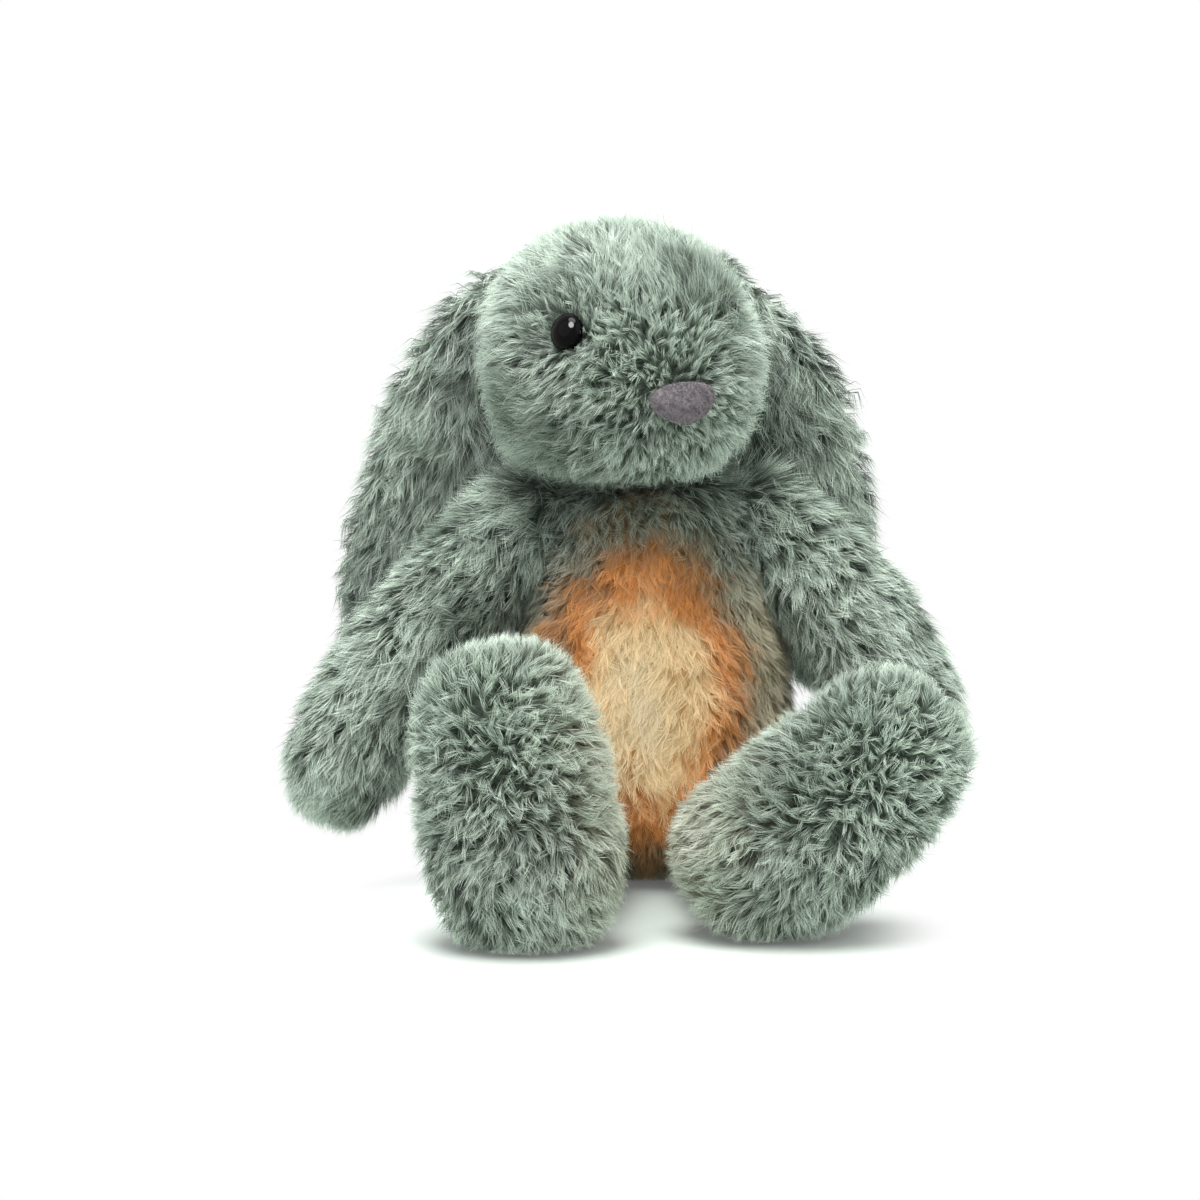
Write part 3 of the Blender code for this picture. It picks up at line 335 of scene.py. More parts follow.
# Triangles of a mesh as arrays: corners, vertex normals at the corners, area
def surfaceOf(obj):
    mesh = obj.data
    mesh.calc_loop_triangles()
    index = np.zeros(len(mesh.loop_triangles) * 3, np.int32)
    mesh.loop_triangles.foreach_get("vertices", index)
    index = index.reshape(-1, 3)
    co = np.zeros(len(mesh.vertices) * 3)
    mesh.vertices.foreach_get("co", co)
    normals = np.zeros(len(mesh.vertices) * 3)
    mesh.vertices.foreach_get("normal", normals)
    corners = co.reshape(-1, 3)[index]
    area = np.linalg.norm(np.cross(corners[:, 1] - corners[:, 0], corners[:, 2] - corners[:, 0]), axis=1) / 2
    return corners, normals.reshape(-1, 3)[index], area


# 1 where a triangle faces open air, 0 where another piece covers it
def openShare(corners, normals, tree, reach):
    middle = corners.mean(axis=1)
    outward = normals.mean(axis=1)
    return np.array([tree.ray_cast(Vector(point), Vector(way), reach)[0] is None
                     for point, way in zip(middle, outward)], float)


def unit(v):
    return v / np.maximum(np.linalg.norm(v, axis=-1, keepdims=True), 1e-9)


# A number from about -1 to 1 at each place that wanders smoothly over a piece
def drift(place, wave, seed):
    rng = np.random.default_rng(seed)
    total = np.zeros(len(place))
    for _ in range(6):
        way = unit(rng.normal(size=3)) * math.tau / (wave * rng.uniform(0.7, 1.5))
        total += np.sin(place @ way + rng.uniform(0, math.tau))
    return total / 3


# Where the pile of each sole parts, and which way it leans besides
whorls = {"leg_right": {"at": (-0.049, -0.122, 0.064), "lean": (0.0, 0.0, 0.10)},
          "leg_left": {"at": (0.076, -0.114, 0.056), "lean": (0.15, 0.0, 0.15)}}

# Where the pile is mussed and stands up: a place, how far it reaches, and by how many degrees tufts turn there
mussSpots = {
    "tail": [((0.0015, 0.040, 0.024), 0.014, 35)],
    "head": [((-0.012, -0.064, 0.192), 0.018, 50), ((0.018, -0.070, 0.196), 0.012, 30)],
    "leg_right": [((-0.049, -0.122, 0.064), 0.022, 60)],
    "leg_left": [((0.076, -0.114, 0.056), 0.022, 60)],
}

# Where the pile is painted paler or darker: painted light on the crown, forehead, bridge of the nose, ear tops and
# tops of the feet, painted shade in the creases between ears, head, arms and body, under the chin and low on the
# cheeks, ears and soles. A place, how far it reaches, and how much
paintedLightAndShade = {
    "tail": [((0.0015, 0.040, 0.024), 0.016, 0.15)],
    "head": [((-0.005, -0.020, 0.230), 0.030, 0.16), ((-0.036, -0.048, 0.168), 0.026, -0.50),
             ((0.004, -0.060, 0.146), 0.020, -0.22), ((0.000, -0.062, 0.205), 0.022, 0.44),
             ((0.008, -0.086, 0.186), 0.016, 0.36), ((-0.054, -0.010, 0.182), 0.022, -0.35),
             ((0.044, -0.010, 0.185), 0.018, -0.25)],
    "ear_right": [((-0.104, 0.026, 0.092), 0.042, -0.42), ((-0.044, 0.005, 0.218), 0.024, 0.45),
                  ((-0.054, 0.004, 0.186), 0.016, -0.55), ((-0.056, 0.012, 0.156), 0.016, -0.50)],
    "ear_left": [((0.080, 0.020, 0.080), 0.040, -0.12), ((0.034, 0.005, 0.214), 0.024, 0.45),
                 ((0.046, 0.004, 0.180), 0.016, -0.45), ((0.044, 0.012, 0.152), 0.016, -0.50)],
    "arm_right": [((-0.052, -0.026, 0.092), 0.022, -0.35), ((-0.094, -0.016, 0.080), 0.030, 0.10)],
    "torso": [((-0.034, -0.020, 0.122), 0.018, -0.40), ((0.030, -0.020, 0.128), 0.016, -0.25)],
    "arm_left": [((0.070, -0.020, 0.090), 0.050, 0.24)],
    "leg_right": [((-0.048, -0.116, 0.090), 0.022, 0.50), ((-0.046, -0.122, 0.050), 0.026, -0.22)],
    "leg_left": [((0.088, -0.108, 0.074), 0.022, 0.50), ((0.050, -0.110, 0.036), 0.022, -0.10)],
}

# Where the pile is longer or shorter than elsewhere: a place, how far it reaches, and how much
lengthSpots = {
    "arm_right": [((-0.043, -0.006, 0.144), 0.019, 0.90)],
    "arm_left": [((0.034, -0.006, 0.144), 0.014, 0.80)],
    "torso": [((0.024, -0.007, 0.144), 0.014, 0.80), ((-0.025, -0.007, 0.142), 0.014, 0.50)],
    "head": [((-0.040, -0.019, 0.156), 0.016, 0.80), ((0.025, -0.026, 0.157), 0.014, 0.50),
             ((-0.034, -0.006, 0.220), 0.020, 0.45), ((0.024, 0.000, 0.218), 0.018, 0.30)],
    "ear_right": [((-0.050, 0.018, 0.154), 0.016, 0.80), ((-0.040, 0.005, 0.222), 0.022, -0.50)],
    "ear_left": [((0.031, 0.018, 0.152), 0.014, 0.80), ((0.028, 0.005, 0.218), 0.022, -0.50)],
    "leg_left": [((0.108, -0.106, 0.040), 0.028, -0.40)],
}


# What the spots of a table add up to at each place
def spots(table, name, place):
    total = np.zeros(len(place))
    for middle, reach, amount in table.get(name, []):
        total += amount * np.exp(-(np.linalg.norm(place - np.array(middle), axis=1) / reach) ** 2)
    return total


def middleOf(name):
    low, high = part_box(name)
    return np.array((low + high) / 2)


noseMiddle = middleOf("nose_pad")
eyeMiddle = middleOf("eye_right")
otherEye = middleOf("eye_left")


def awayFrom(middle, place):
    return np.linalg.norm(place - middle, axis=1)


# The middle of a hanging piece at each height, and how it leans there
def spineAt(name, height):
    co = np.array([v.co for v in nodes[name].data.vertices])
    trim, slab, step, count = 0.004, 0.009, 0.010, 12
    levels = np.linspace(co[:, 2].min() + trim, co[:, 2].max() - trim, count)
    middles = []
    for level in levels:
        near = co[np.abs(co[:, 2] - level) < slab]
        middles.append((near.min(axis=0) + near.max(axis=0)) / 2)
    middles = np.array(middles)
    at = np.stack([np.interp(height, levels, middles[:, i]) for i in (0, 1)], axis=1)
    below = np.stack([np.interp(height - step, levels, middles[:, i]) for i in (0, 1)], axis=1)
    return at, (below - at) / step


# How each kind of piece is combed, and how far and over what distance the combing wanders (degrees, metres)
combing = {
    "belly": {"middle": 0.003, "fan": 11, "forward": 0.15},
    "face": {"fall": 0.30, "eyeReach": 0.016, "eyePush": 1.6},
    "hang": {"halfWidth": 0.020, "fan": 0.35},
    "sole": {"parting": 0.014},
    "tail": {"backward": 0.4},
    "wander": 32,
    "wave": 0.026,
}


# Which way the pile lies, as a vector at each place
def combAt(style, name, place, normal):
    flat = np.zeros((len(place), 1))
    now = combing[style]
    if style == "belly":
        across = place[:, :1] - now["middle"]
        way = np.concatenate([across * now["fan"], flat - now["forward"], flat - 1.0], axis=1)
    elif style == "face":
        way = unit(place - noseMiddle) + np.array((0, 0, -now["fall"]))
        for middle in (eyeMiddle, otherEye):
            near = np.exp(-(awayFrom(middle, place) / now["eyeReach"]) ** 2)[:, None]
            way = way + now["eyePush"] * near * unit(place - middle)
    elif style == "hang":
        at, lean = spineAt(name, place[:, 2])
        across = (place[:, :2] - at) / now["halfWidth"]
        way = np.concatenate([lean + now["fan"] * across, flat - 1.0], axis=1)
    elif style == "sole":
        away = place - np.array(whorls[name]["at"])
        length = np.sqrt((away ** 2).sum(axis=1, keepdims=True) + now["parting"] ** 2)
        way = away / length + np.array(whorls[name]["lean"])
    else:
        way = np.concatenate([flat, flat + now["backward"], flat - 1.0], axis=1)
    way = unit(way - normal * (way * normal).sum(axis=1, keepdims=True))
    turn = (math.radians(combing["wander"]) * drift(place, combing["wave"], len(name)))[:, None]
    return way * np.cos(turn) + np.cross(normal, way) * np.sin(turn)


# What the pile's length or lay is multiplied by as a distance grows: from where, over how far, the least, and how
# much more than that
trims = {
    "nose": (0.008, 0.036, 0.42, 0.62),
    "eye": (0.007, 0.012, 0.50, 0.50),
    "floor": (0.0, 0.008, 0.55, 0.45),
    "bridge": (0.016, 0.026, 0.66, 0.34),
    "overHiddenEye": 0.85,   # so much longer there
    "uprightAtEye": 0.35,    # and so much steeper
    "uprightAtSpots": 0.45,  # longer spots stand so much steeper
    "patches": (0.12, 0.030, 7),  # length wanders by this share, over this distance, and a seed
    "hiddenFrom": 0.002,     # the pile in front of the left eye, from this far behind its middle
    "hiddenOver": 0.004,
    "hiddenReach": 0.013,
}


# 1 on the muzzle side of the left eye, fading to 0 away from it
def hiddenEye(place):
    forward = np.clip((otherEye[1] - place[:, 1] + trims["hiddenFrom"]) / trims["hiddenOver"], 0, 1)
    return forward * np.exp(-(awayFrom(otherEye, place) / trims["hiddenReach"]) ** 2)


def climb(trim, value):
    start, span, least, more = trims[trim]
    return least + more * np.clip((value - start) / span, 0, 1)


# Shorter pile round the nose and eyes, longer low on the cheeks, and short where the piece rests on the floor
def lengthShare(style, name, place):
    amount, wave, seed = trims["patches"]
    share = 1 + amount * drift(place, wave, seed)
    share += spots(lengthSpots, name, place)
    if style == "face":
        share *= climb("nose", awayFrom(noseMiddle, place))
        share *= climb("eye", awayFrom(eyeMiddle, place))
        share *= 1 + trims["overHiddenEye"] * hiddenEye(place)
    share *= climb("floor", place[:, 2])
    return share


# The pile stands more upright on the bridge of the nose and in front of the eye that the muzzle hides
def layShare(style, name, place):
    share = 1 - trims["uprightAtSpots"] * np.clip(spots(lengthSpots, name, place), 0, 1)
    if style == "face":
        share *= climb("bridge", awayFrom(noseMiddle, place)) * (1 - trims["uprightAtEye"] * hiddenEye(place))
    return share


# The lit egg on the belly, seen from the front
glow = {
    "centre": (-0.0002, 0.0715),
    "halfWidth": 0.0440,
    "halfHeight": 0.0725,
    "emission": 0.37,
    "taper": (0.40, 1.2),    # how much narrower it grows below, and down to where
    "ragged": ((0.06, 0.014, 5), (0.03, 0.006, 6)),  # how far its edge wanders, over what distance, and a seed
    "back": -0.018,          # from this depth backwards it fades out
    "backFade": 0.012,
}


# 0 at the heart of the glow, 1 outside it
def warmthAt(place):
    across = (place[:, 0] - glow["centre"][0]) / glow["halfWidth"]
    up = (place[:, 2] - glow["centre"][1]) / glow["halfHeight"]
    across = across * (1 + glow["taper"][0] * np.clip(-up, 0, glow["taper"][1]))
    reach = np.sqrt(across ** 2 + up ** 2)
    for amount, wave, seed in glow["ragged"]:
        reach = reach + amount * drift(place, wave, seed)
    behind = np.clip((place[:, 1] - glow["back"]) / glow["backFade"], 0, 1)
    return np.clip(reach + behind, 0, 1)


# Lamp light on the pile beside the glow
lampSpill = {
    "left": (1.8, 0.6),      # how fast it grows sideways, and from where, on the rabbit's left flank
    "right": (0.9, 0.45),
    "top": 0.122,
    "topFade": 0.020,
    "bottom": 0.02,
    "front": -0.004,
    "frontFade": 0.012,
    "ring": 0.97,            # strongest at this warmth
    "ringWidth": 0.20,
    "between": (0.002, -0.085, 0.070),  # the feet catch it from here
    "stretch": (1.0, 0.45, 0.45),
    "feetReach": 0.027,
    "feetShare": 0.80,
}


# How much of the lamp's light falls on pile beside the glow: the belly's flanks and the inner edges of the feet
def spillAt(name, place, warmth):
    if name == "torso":
        across = (place[:, 0] - glow["centre"][0]) / glow["halfWidth"]
        (left, leftFrom), (right, rightFrom) = lampSpill["left"], lampSpill["right"]
        side = np.clip(np.where(across > 0, left * across - leftFrom, -right * across - rightFrom), 0, 1)
        side *= np.clip((lampSpill["top"] - place[:, 2]) / lampSpill["topFade"], 0, 1)
        front = np.clip((lampSpill["front"] - place[:, 1]) / lampSpill["frontFade"], 0, 1)
        ring = np.exp(-((warmth - lampSpill["ring"]) / lampSpill["ringWidth"]) ** 2)
        return ring * side * front * (place[:, 2] > lampSpill["bottom"])
    if name in whorls:
        near = np.linalg.norm((place - np.array(lampSpill["between"])) * np.array(lampSpill["stretch"]), axis=1)
        return lampSpill["feetShare"] * np.exp(-(near / lampSpill["feetReach"]) ** 2)
    return np.zeros(len(place))


# Tufts that stand too far off the CAD surface are laid down onto it
def pressDown(tips, tree, caps):
    shift = np.zeros_like(tips)
    for i, tip in enumerate(tips):
        near, _, _, gap = tree.find_nearest(Vector(tip))
        if gap > caps[i]:
            shift[i] = (np.array(near) - tip) * (gap - caps[i]) / gap
    return shift


# The pile wherever plush or nose doesn't say otherwise: lengths in metres, angles in degrees
pile = {
    "sunk": 0.0022,          # how far the backing lies under the CAD surface
    "cap": 0.0062,           # how far above the CAD surface a tuft may stand
    "over": 0.0073,          # how far past the CAD's whole box any strand may reach
    "floor": 0.0006,         # how far above the floor strands end
    "floorScatter": 0.0008,
    "spacing": 0.0018,       # one tuft for each square of this side
    "strands": 10,           # strands in a tuft
    "spread": 0.0017,        # radius of a tuft at its root
    "width": 0.00030,        # a strand's width at its root
    "waist": 0.38,           # half its width at mid-length, as a share of that
    "gather": 0.88,          # how far the tips of a tuft come together
    "stray": 0.07,           # share of strands that leave their tuft
    "curl": 0.18,            # how far a tuft bows sideways, as a share of its length
    "bends": ((0.0, 0.55), (0.5, 0.85), (1.0, 1.12)),  # along a strand, and how much of its lay it has there
    "clump": 0.009,          # tufts lean and shade together over about this distance
    "tones": 3,              # strands of a tuft come in this many tones
    "toneStep": 0.16,
    "coverReach": 0.0016,    # a neighbour this close above the backing covers the pile
    "coveredTufts": 0.4,     # what covered pile has of the tufts, and its lay and length
    "coveredLay": 72,
    "coveredLength": 0.45,
    "mostStrands": 40000,    # a larger piece of pile is made as several meshes
}

# How much tufts differ, and strands within a tuft: a range, or a standard deviation. A tuft mussed by uprightAt
# degrees would stand straight up.
tuftSpread = {"turn": 15, "lay": 7, "clumpLay": 9, "length": (0.76, 1.24), "tone": 0.15, "clumpTone": 0.12,
              "patchTone": 0.10, "patch": 0.020, "uprightAt": 160}
strandSpread = {"gather": (0.80, 1.12), "lay": 4, "length": (0.80, 1.10), "turn": 0.08, "width": (0.75, 1.3),
                "twist": 0.95, "strayGather": 0.2, "strayLay": (-4, 8), "strayTurn": 0.4}

# More tufts near the nose, and over what distance
nearNose = {"more": 0.9, "reach": 0.016}


def strandMesh(name, verts, normals, tuft, level, tone, warmth, spill):
    total = len(verts)
    mesh = bpy.data.meshes.new(name)
    mesh.vertices.add(total * 5)
    mesh.vertices.foreach_set("co", verts.astype(np.float32).ravel())
    first = (np.arange(total) * 5)[:, None]
    loops = (first + np.array([0, 1, 3, 2, 2, 3, 4])).ravel()
    mesh.loops.add(total * 7)
    mesh.loops.foreach_set("vertex_index", loops.astype(np.int32))
    mesh.polygons.add(total * 2)
    starts = ((np.arange(total) * 7)[:, None] + np.array([0, 4])).ravel()
    mesh.polygons.foreach_set("loop_start", starts.astype(np.int32))

    # Each tuft has a cell of the UV map, root at its foot and tips at its head, with a column for each tone
    tuft = tuft - tuft.min()
    cells = math.ceil(math.sqrt(tuft.max() + 1))
    cellX, cellY = (tuft % cells)[:, None], (tuft // cells)[:, None]
    u = (cellX + (level[:, None] + np.array([0.25, 0.75, 0.68, 0.32, 0.32, 0.68, 0.50])) / pile["tones"]) / cells
    v = (cellY + np.array([0.12, 0.12, 0.50, 0.50, 0.50, 0.50, 0.88])) / cells
    layer = mesh.uv_layers.new(name="OFBake")
    layer.data.foreach_set("uv", np.stack([u, v], axis=2).astype(np.float32).ravel())

    facts = np.ones((total, 5, 4), np.float32)
    facts[:, :, 0] = np.array([0.0, 0.0, 0.5, 0.5, 1.0])
    facts[:, :, 1] = tone[:, None]
    facts[:, :, 2] = warmth[:, None]
    facts[:, :, 3] = spill[:, None]
    layer = mesh.attributes.new("pile", "FLOAT_COLOR", "POINT")
    layer.data.foreach_set("color", facts.ravel())
    mesh.update(calc_edges=True)
    mesh.polygons.foreach_set("use_smooth", np.ones(total * 2, bool))
    mesh.normals_split_custom_set_from_vertices(normals.reshape(-1, 3))
    return newObject(name, mesh)


# Where tufts stand on a backing: each one's root, the surface's direction there, and 0 where a neighbour covers it
def plantTufts(name, skin, now, keep, rng):
    corners, cornerNormals, area = surfaceOf(skin)
    others = [other for other in plush if other not in (name, "pocket_flap")] if name in plush else ["head"]
    openness = openShare(corners, cornerNormals, cadTree(others), now["sunk"] + now["coverReach"])
    weight = area * (now["coveredTufts"] + (1 - now["coveredTufts"]) * openness)
    if now["comb"] == "face" and name in plush:
        fromNose = awayFrom(noseMiddle, corners.mean(axis=1))
        weight *= 1 + nearNose["more"] * np.exp(-(fromNose / nearNose["reach"]) ** 2)
    tufts = int(weight.sum() / now["spacing"] ** 2)
    pick = rng.choice(len(weight), tufts, p=weight / weight.sum())
    a, b = rng.random(tufts), rng.random(tufts)
    flip = a + b > 1
    a[flip], b[flip] = 1 - a[flip], 1 - b[flip]
    shares = np.stack([1 - a - b, a, b], axis=1)[:, :, None]
    root = (corners[pick] * shares).sum(axis=1)
    normal = unit((cornerNormals[pick] * shares).sum(axis=1))
    order = np.argsort(root[:, 2])
    root, normal, bare = root[order], normal[order], openness[pick][order]
    if keep is not None:
        chosen = keep(root)
        root, normal, bare = root[chosen], normal[chosen], bare[chosen]
    return root, normal, bare


# Each tuft's direction along the surface, lay, length and tone
def combTufts(name, now, root, normal, bare, rng):
    tufts = len(root)
    style = now["comb"]
    way = combAt(style, name, root, normal)
    mussed = spots(mussSpots, name, root)
    turn = (np.radians(tuftSpread["turn"] + mussed) * rng.normal(0, 1, tufts))[:, None]
    way = way * np.cos(turn) + np.cross(normal, way) * np.sin(turn)
    together = drift(root, now["clump"], now["seed"] + 50)
    lay = (np.radians(now["lay"] + tuftSpread["clumpLay"] * together + rng.normal(0, tuftSpread["lay"], tufts))
           * layShare(style, name, root) * (1 - mussed / tuftSpread["uprightAt"]))
    length = now["length"] * lengthShare(style, name, root) * rng.uniform(*tuftSpread["length"], tufts)
    # Pile that a neighbour covers is short and lies flat, and shows only when that piece is lifted
    lay = np.where(bare > 0, lay, math.radians(now["coveredLay"]))
    length = np.where(bare > 0, length, now["coveredLength"] * now["length"])
    # Tone: patches and each tuft's own tone at random, painted shade on clumps that lie flatter, and the painted
    # light and shade of the spots
    tone = (0.5 + tuftSpread["patchTone"] * drift(root, tuftSpread["patch"], now["seed"])
            - tuftSpread["clumpTone"] * together + rng.normal(0, tuftSpread["tone"], tufts))
    return way, lay, length, np.clip(tone + spots(paintedLightAndShade, name, root), 0, 1)


# The strands of all tufts at three stations along each: they leave the backing steeply, bow sideways and bend over
# to their lay. Also each one's tone, counted from 0.
def bendStrands(name, now, root, normal, way, lay, length, rng):
    tufts, count = len(root), now["strands"]
    total = tufts * count
    tuft = np.repeat(np.arange(tufts), count)
    angle = rng.uniform(0, math.tau, total)
    off = now["spread"] * np.sqrt(rng.random(total))
    n, d = normal[tuft], way[tuft]
    s = np.cross(n, d)
    offset = d * (off * np.cos(angle))[:, None] + s * (off * np.sin(angle))[:, None]
    stray = rng.random(total) < now["stray"]
    level = rng.integers(0, now["tones"], total)
    gather = now["gather"] * rng.uniform(*strandSpread["gather"], total)
    gather = np.where(stray, strandSpread["strayGather"], gather)[:, None]
    ownLay = rng.normal(0, strandSpread["lay"], total) + stray * rng.normal(*strandSpread["strayLay"], total)
    ownLay = (lay[tuft] + np.radians(ownLay))[:, None]
    ownLength = (length[tuft] * rng.uniform(*strandSpread["length"], total))[:, None]
    ownTurn = rng.normal(0, strandSpread["turn"], total) + stray * rng.normal(0, strandSpread["strayTurn"], total)
    ownTurn = ownTurn[:, None]
    ownWay = d * np.cos(ownTurn) + s * np.sin(ownTurn)

    bow = s * (rng.normal(0, now["curl"], tufts)[tuft])[:, None] * ownLength
    stations = []
    reach = np.zeros((total, 3))
    last = 0
    for t, bend in now["bends"]:
        tilt = ownLay * bend
        reach = reach + (n * np.cos(tilt) + ownWay * np.sin(tilt)) * ownLength * (t - last)
        last = t
        stations.append(root[tuft] + offset * (1 - gather * t ** 0.8) + reach + bow * 4 * t * (1 - t))
    tips = stations[2].reshape(tufts, count, 3).mean(axis=1)
    taller = spots(lengthSpots, name, root) + (now["comb"] == "face") * hiddenEye(root)
    shift = pressDown(tips, cadTree([name]), now["cap"] * (1 + np.clip(taller, 0, 1)))[tuft]
    stations[1] += 0.55 * shift
    stations[2] += shift
    for place in stations:
        np.clip(place, cadLow - now["over"], cadHigh + now["over"], out=place)
    for place in stations[1:]:
        place[:, 2] = np.maximum(place[:, 2], now["floor"] + now["floorScatter"] * rng.random(total))
    stations[0][:, 2] = np.maximum(stations[0][:, 2], now["floor"] * 0.5)
    return stations, level


# Five corners to a strand, turned about its length at random, with normals that round it off
def widenStrands(now, stations, n, rng):
    root, middle, tip = stations
    along = unit(tip - root)
    outward = unit(n - along * (n * along).sum(axis=1, keepdims=True))
    across = np.cross(along, outward)
    twist = rng.uniform(-strandSpread["twist"], strandSpread["twist"], len(n))[:, None]
    wide = (across * np.cos(twist) + outward * np.sin(twist)) * now["width"]
    wide = wide * rng.uniform(*strandSpread["width"], len(n))[:, None]
    verts = np.stack([root - wide * 0.5, root + wide * 0.5, middle - wide * now["waist"],
                      middle + wide * now["waist"], tip], axis=1)
    left, right = unit(outward - across * 0.6), unit(outward + across * 0.6)
    return verts, np.stack([left, right, left, right, outward], axis=1)


# Tufts of flat tapered strands all over a backing, as one or more meshes
def makePile(name, skin, facts, material, keep=None):
    rng = np.random.default_rng(facts["seed"])
    now = {**pile, **facts}
    root, normal, bare = plantTufts(name, skin, now, keep, rng)
    way, lay, length, tone = combTufts(name, now, root, normal, bare, rng)
    warmth = warmthAt(root) if name == "torso" else np.ones(len(root))
    spill = spillAt(name, root, warmth)
    tone = 0.5 + (tone - 0.5) * (0.40 + 0.60 * warmth)  # the lamp evens the tones out

    count = now["strands"]
    tuft = np.repeat(np.arange(len(root)), count)
    stations, level = bendStrands(name, now, root, normal, way, lay, length, rng)
    verts, normals = widenStrands(now, stations, normal[tuft], rng)
    tones = np.clip(tone[tuft] + now["toneStep"] * (level - (now["tones"] - 1) / 2), 0, 1)

    meshes = math.ceil(len(tuft) / now["mostStrands"])
    made = []
    for part, group in enumerate(np.array_split(np.arange(len(root)), meshes)):
        ours = slice(group[0] * count, (group[-1] + 1) * count)
        label = "pile_" + name + (f"_{part + 1}" if meshes > 1 else "")
        mine = tuft[ours]
        obj = strandMesh(label, verts[ours], normals[ours], mine, level[ours], tones[ours], warmth[mine], spill[mine])
        obj.data.materials.append(material)
        made.append(obj)
    print("pile", name, len(root), "tufts", len(tuft), "strands", meshes, "meshes")
    return made


# No pile where the nose pad and the eyes sit, nor on the torso under its pocket flap
def keepAround(names, gap):
    tree = cadTree(names)
    return lambda place: np.array([tree.find_nearest(Vector(p))[3] > gap for p in place])


keepOf = {"head": keepAround(["nose_pad", "eye_right", "eye_left"], 0.0007),
          "torso": keepAround(["pocket_flap"], 0.0008)}


# One row for each stuffed piece: the body it moves with, pile length, lay (degrees from upright), how it is combed,
# its fill, the seed of its tufts, and what differs from pile
plush = {
    "torso": {"body": "torso", "length": 0.0104, "lay": 57, "comb": "belly", "fill": 0.75, "seed": 11,
              "sunk": 0.0014, "spacing": 0.0016, "strands": 8, "spread": 0.0013, "gather": 0.82},
    "head": {"body": "head", "length": 0.0124, "lay": 57, "comb": "face", "fill": 0.8, "seed": 12},
    "ear_right": {"body": "ear_right", "length": 0.0134, "lay": 60, "comb": "hang", "fill": 0.3, "seed": 13},
    "ear_left": {"body": "ear_left", "length": 0.0134, "lay": 60, "comb": "hang", "fill": 0.3, "seed": 14},
    "arm_right": {"body": "arm_right", "length": 0.0126, "lay": 58, "comb": "hang", "fill": 0.65, "seed": 15,
                  "cap": 0.0057},
    "arm_left": {"body": "arm_left", "length": 0.0126, "lay": 58, "comb": "hang", "fill": 0.65, "seed": 16,
                 "cap": 0.0057},
    "leg_right": {"body": "leg_right", "length": 0.0112, "lay": 50, "comb": "sole", "fill": 0.7, "seed": 17,
                  "cap": 0.0050},
    "leg_left": {"body": "leg_left", "length": 0.0112, "lay": 50, "comb": "sole", "fill": 0.7, "seed": 18,
                 "cap": 0.0050},
    "tail": {"body": "torso", "length": 0.0080, "lay": 42, "comb": "tail", "fill": 0.7, "seed": 19, "cap": 0.0048},
    "pocket_flap": {"body": "pocket_flap", "length": 0.0100, "lay": 57, "comb": "belly", "fill": 0.5, "seed": 20,
                    "sunk": 0.0012},
}

# Stuffed pieces
backing = backingMaterial()
sagePile = pileMaterial()
for name, facts in plush.items():
    skin = makeBacking(name, facts.get("sunk", pile["sunk"]), backing)
    if name == "torso":
        co = np.array([v.co for v in skin.data.vertices])
        skin.data.attributes.new("lamp", "FLOAT", "POINT").data.foreach_set("value", 1 - warmthAt(co))
    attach(skin, facts["body"])
    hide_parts(name)
    for fur in makePile(name, skin, facts, sagePile, keepOf.get(name)):
        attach(fur, facts["body"])


nose = {"body": "head", "length": 0.0010, "lay": 38, "comb": "face", "seed": 21, "spacing": 0.00055, "strands": 5,
        "spread": 0.0003, "width": 0.00012, "sunk": 0.0002, "fill": 0.8, "voxel": 0.0005, "easing": 10,
        "pale": (0.150, 0.128, 0.142), "dark": (0.060, 0.054, 0.058), "blotches": 420, "nap": 1500, "depth": 0.0002}

# Nose: the pad eased into a soft button, with a short nap on it
velour = velourMaterial()
pad = makeBacking("nose_pad", nose["sunk"], velour, nose["voxel"], nose["easing"])
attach(pad, nose["body"])
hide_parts("nose_pad")
for nap in makePile("nose_pad", pad, nose, velour):
    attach(nap, nose["body"])
print("nose done")


eye = {"sides": 48, "rings": 12, "black": (0.0008, 0.0008, 0.0009), "brown": (0.003, 0.0016, 0.0012),
       "clouds": 160, "roughness": 0.05, "specular": 0.08, "lip": 0.0005, "groove": 0.0006, "neck": 0.0010,
       "rimShare": 0.98, "slice": 0.0002}

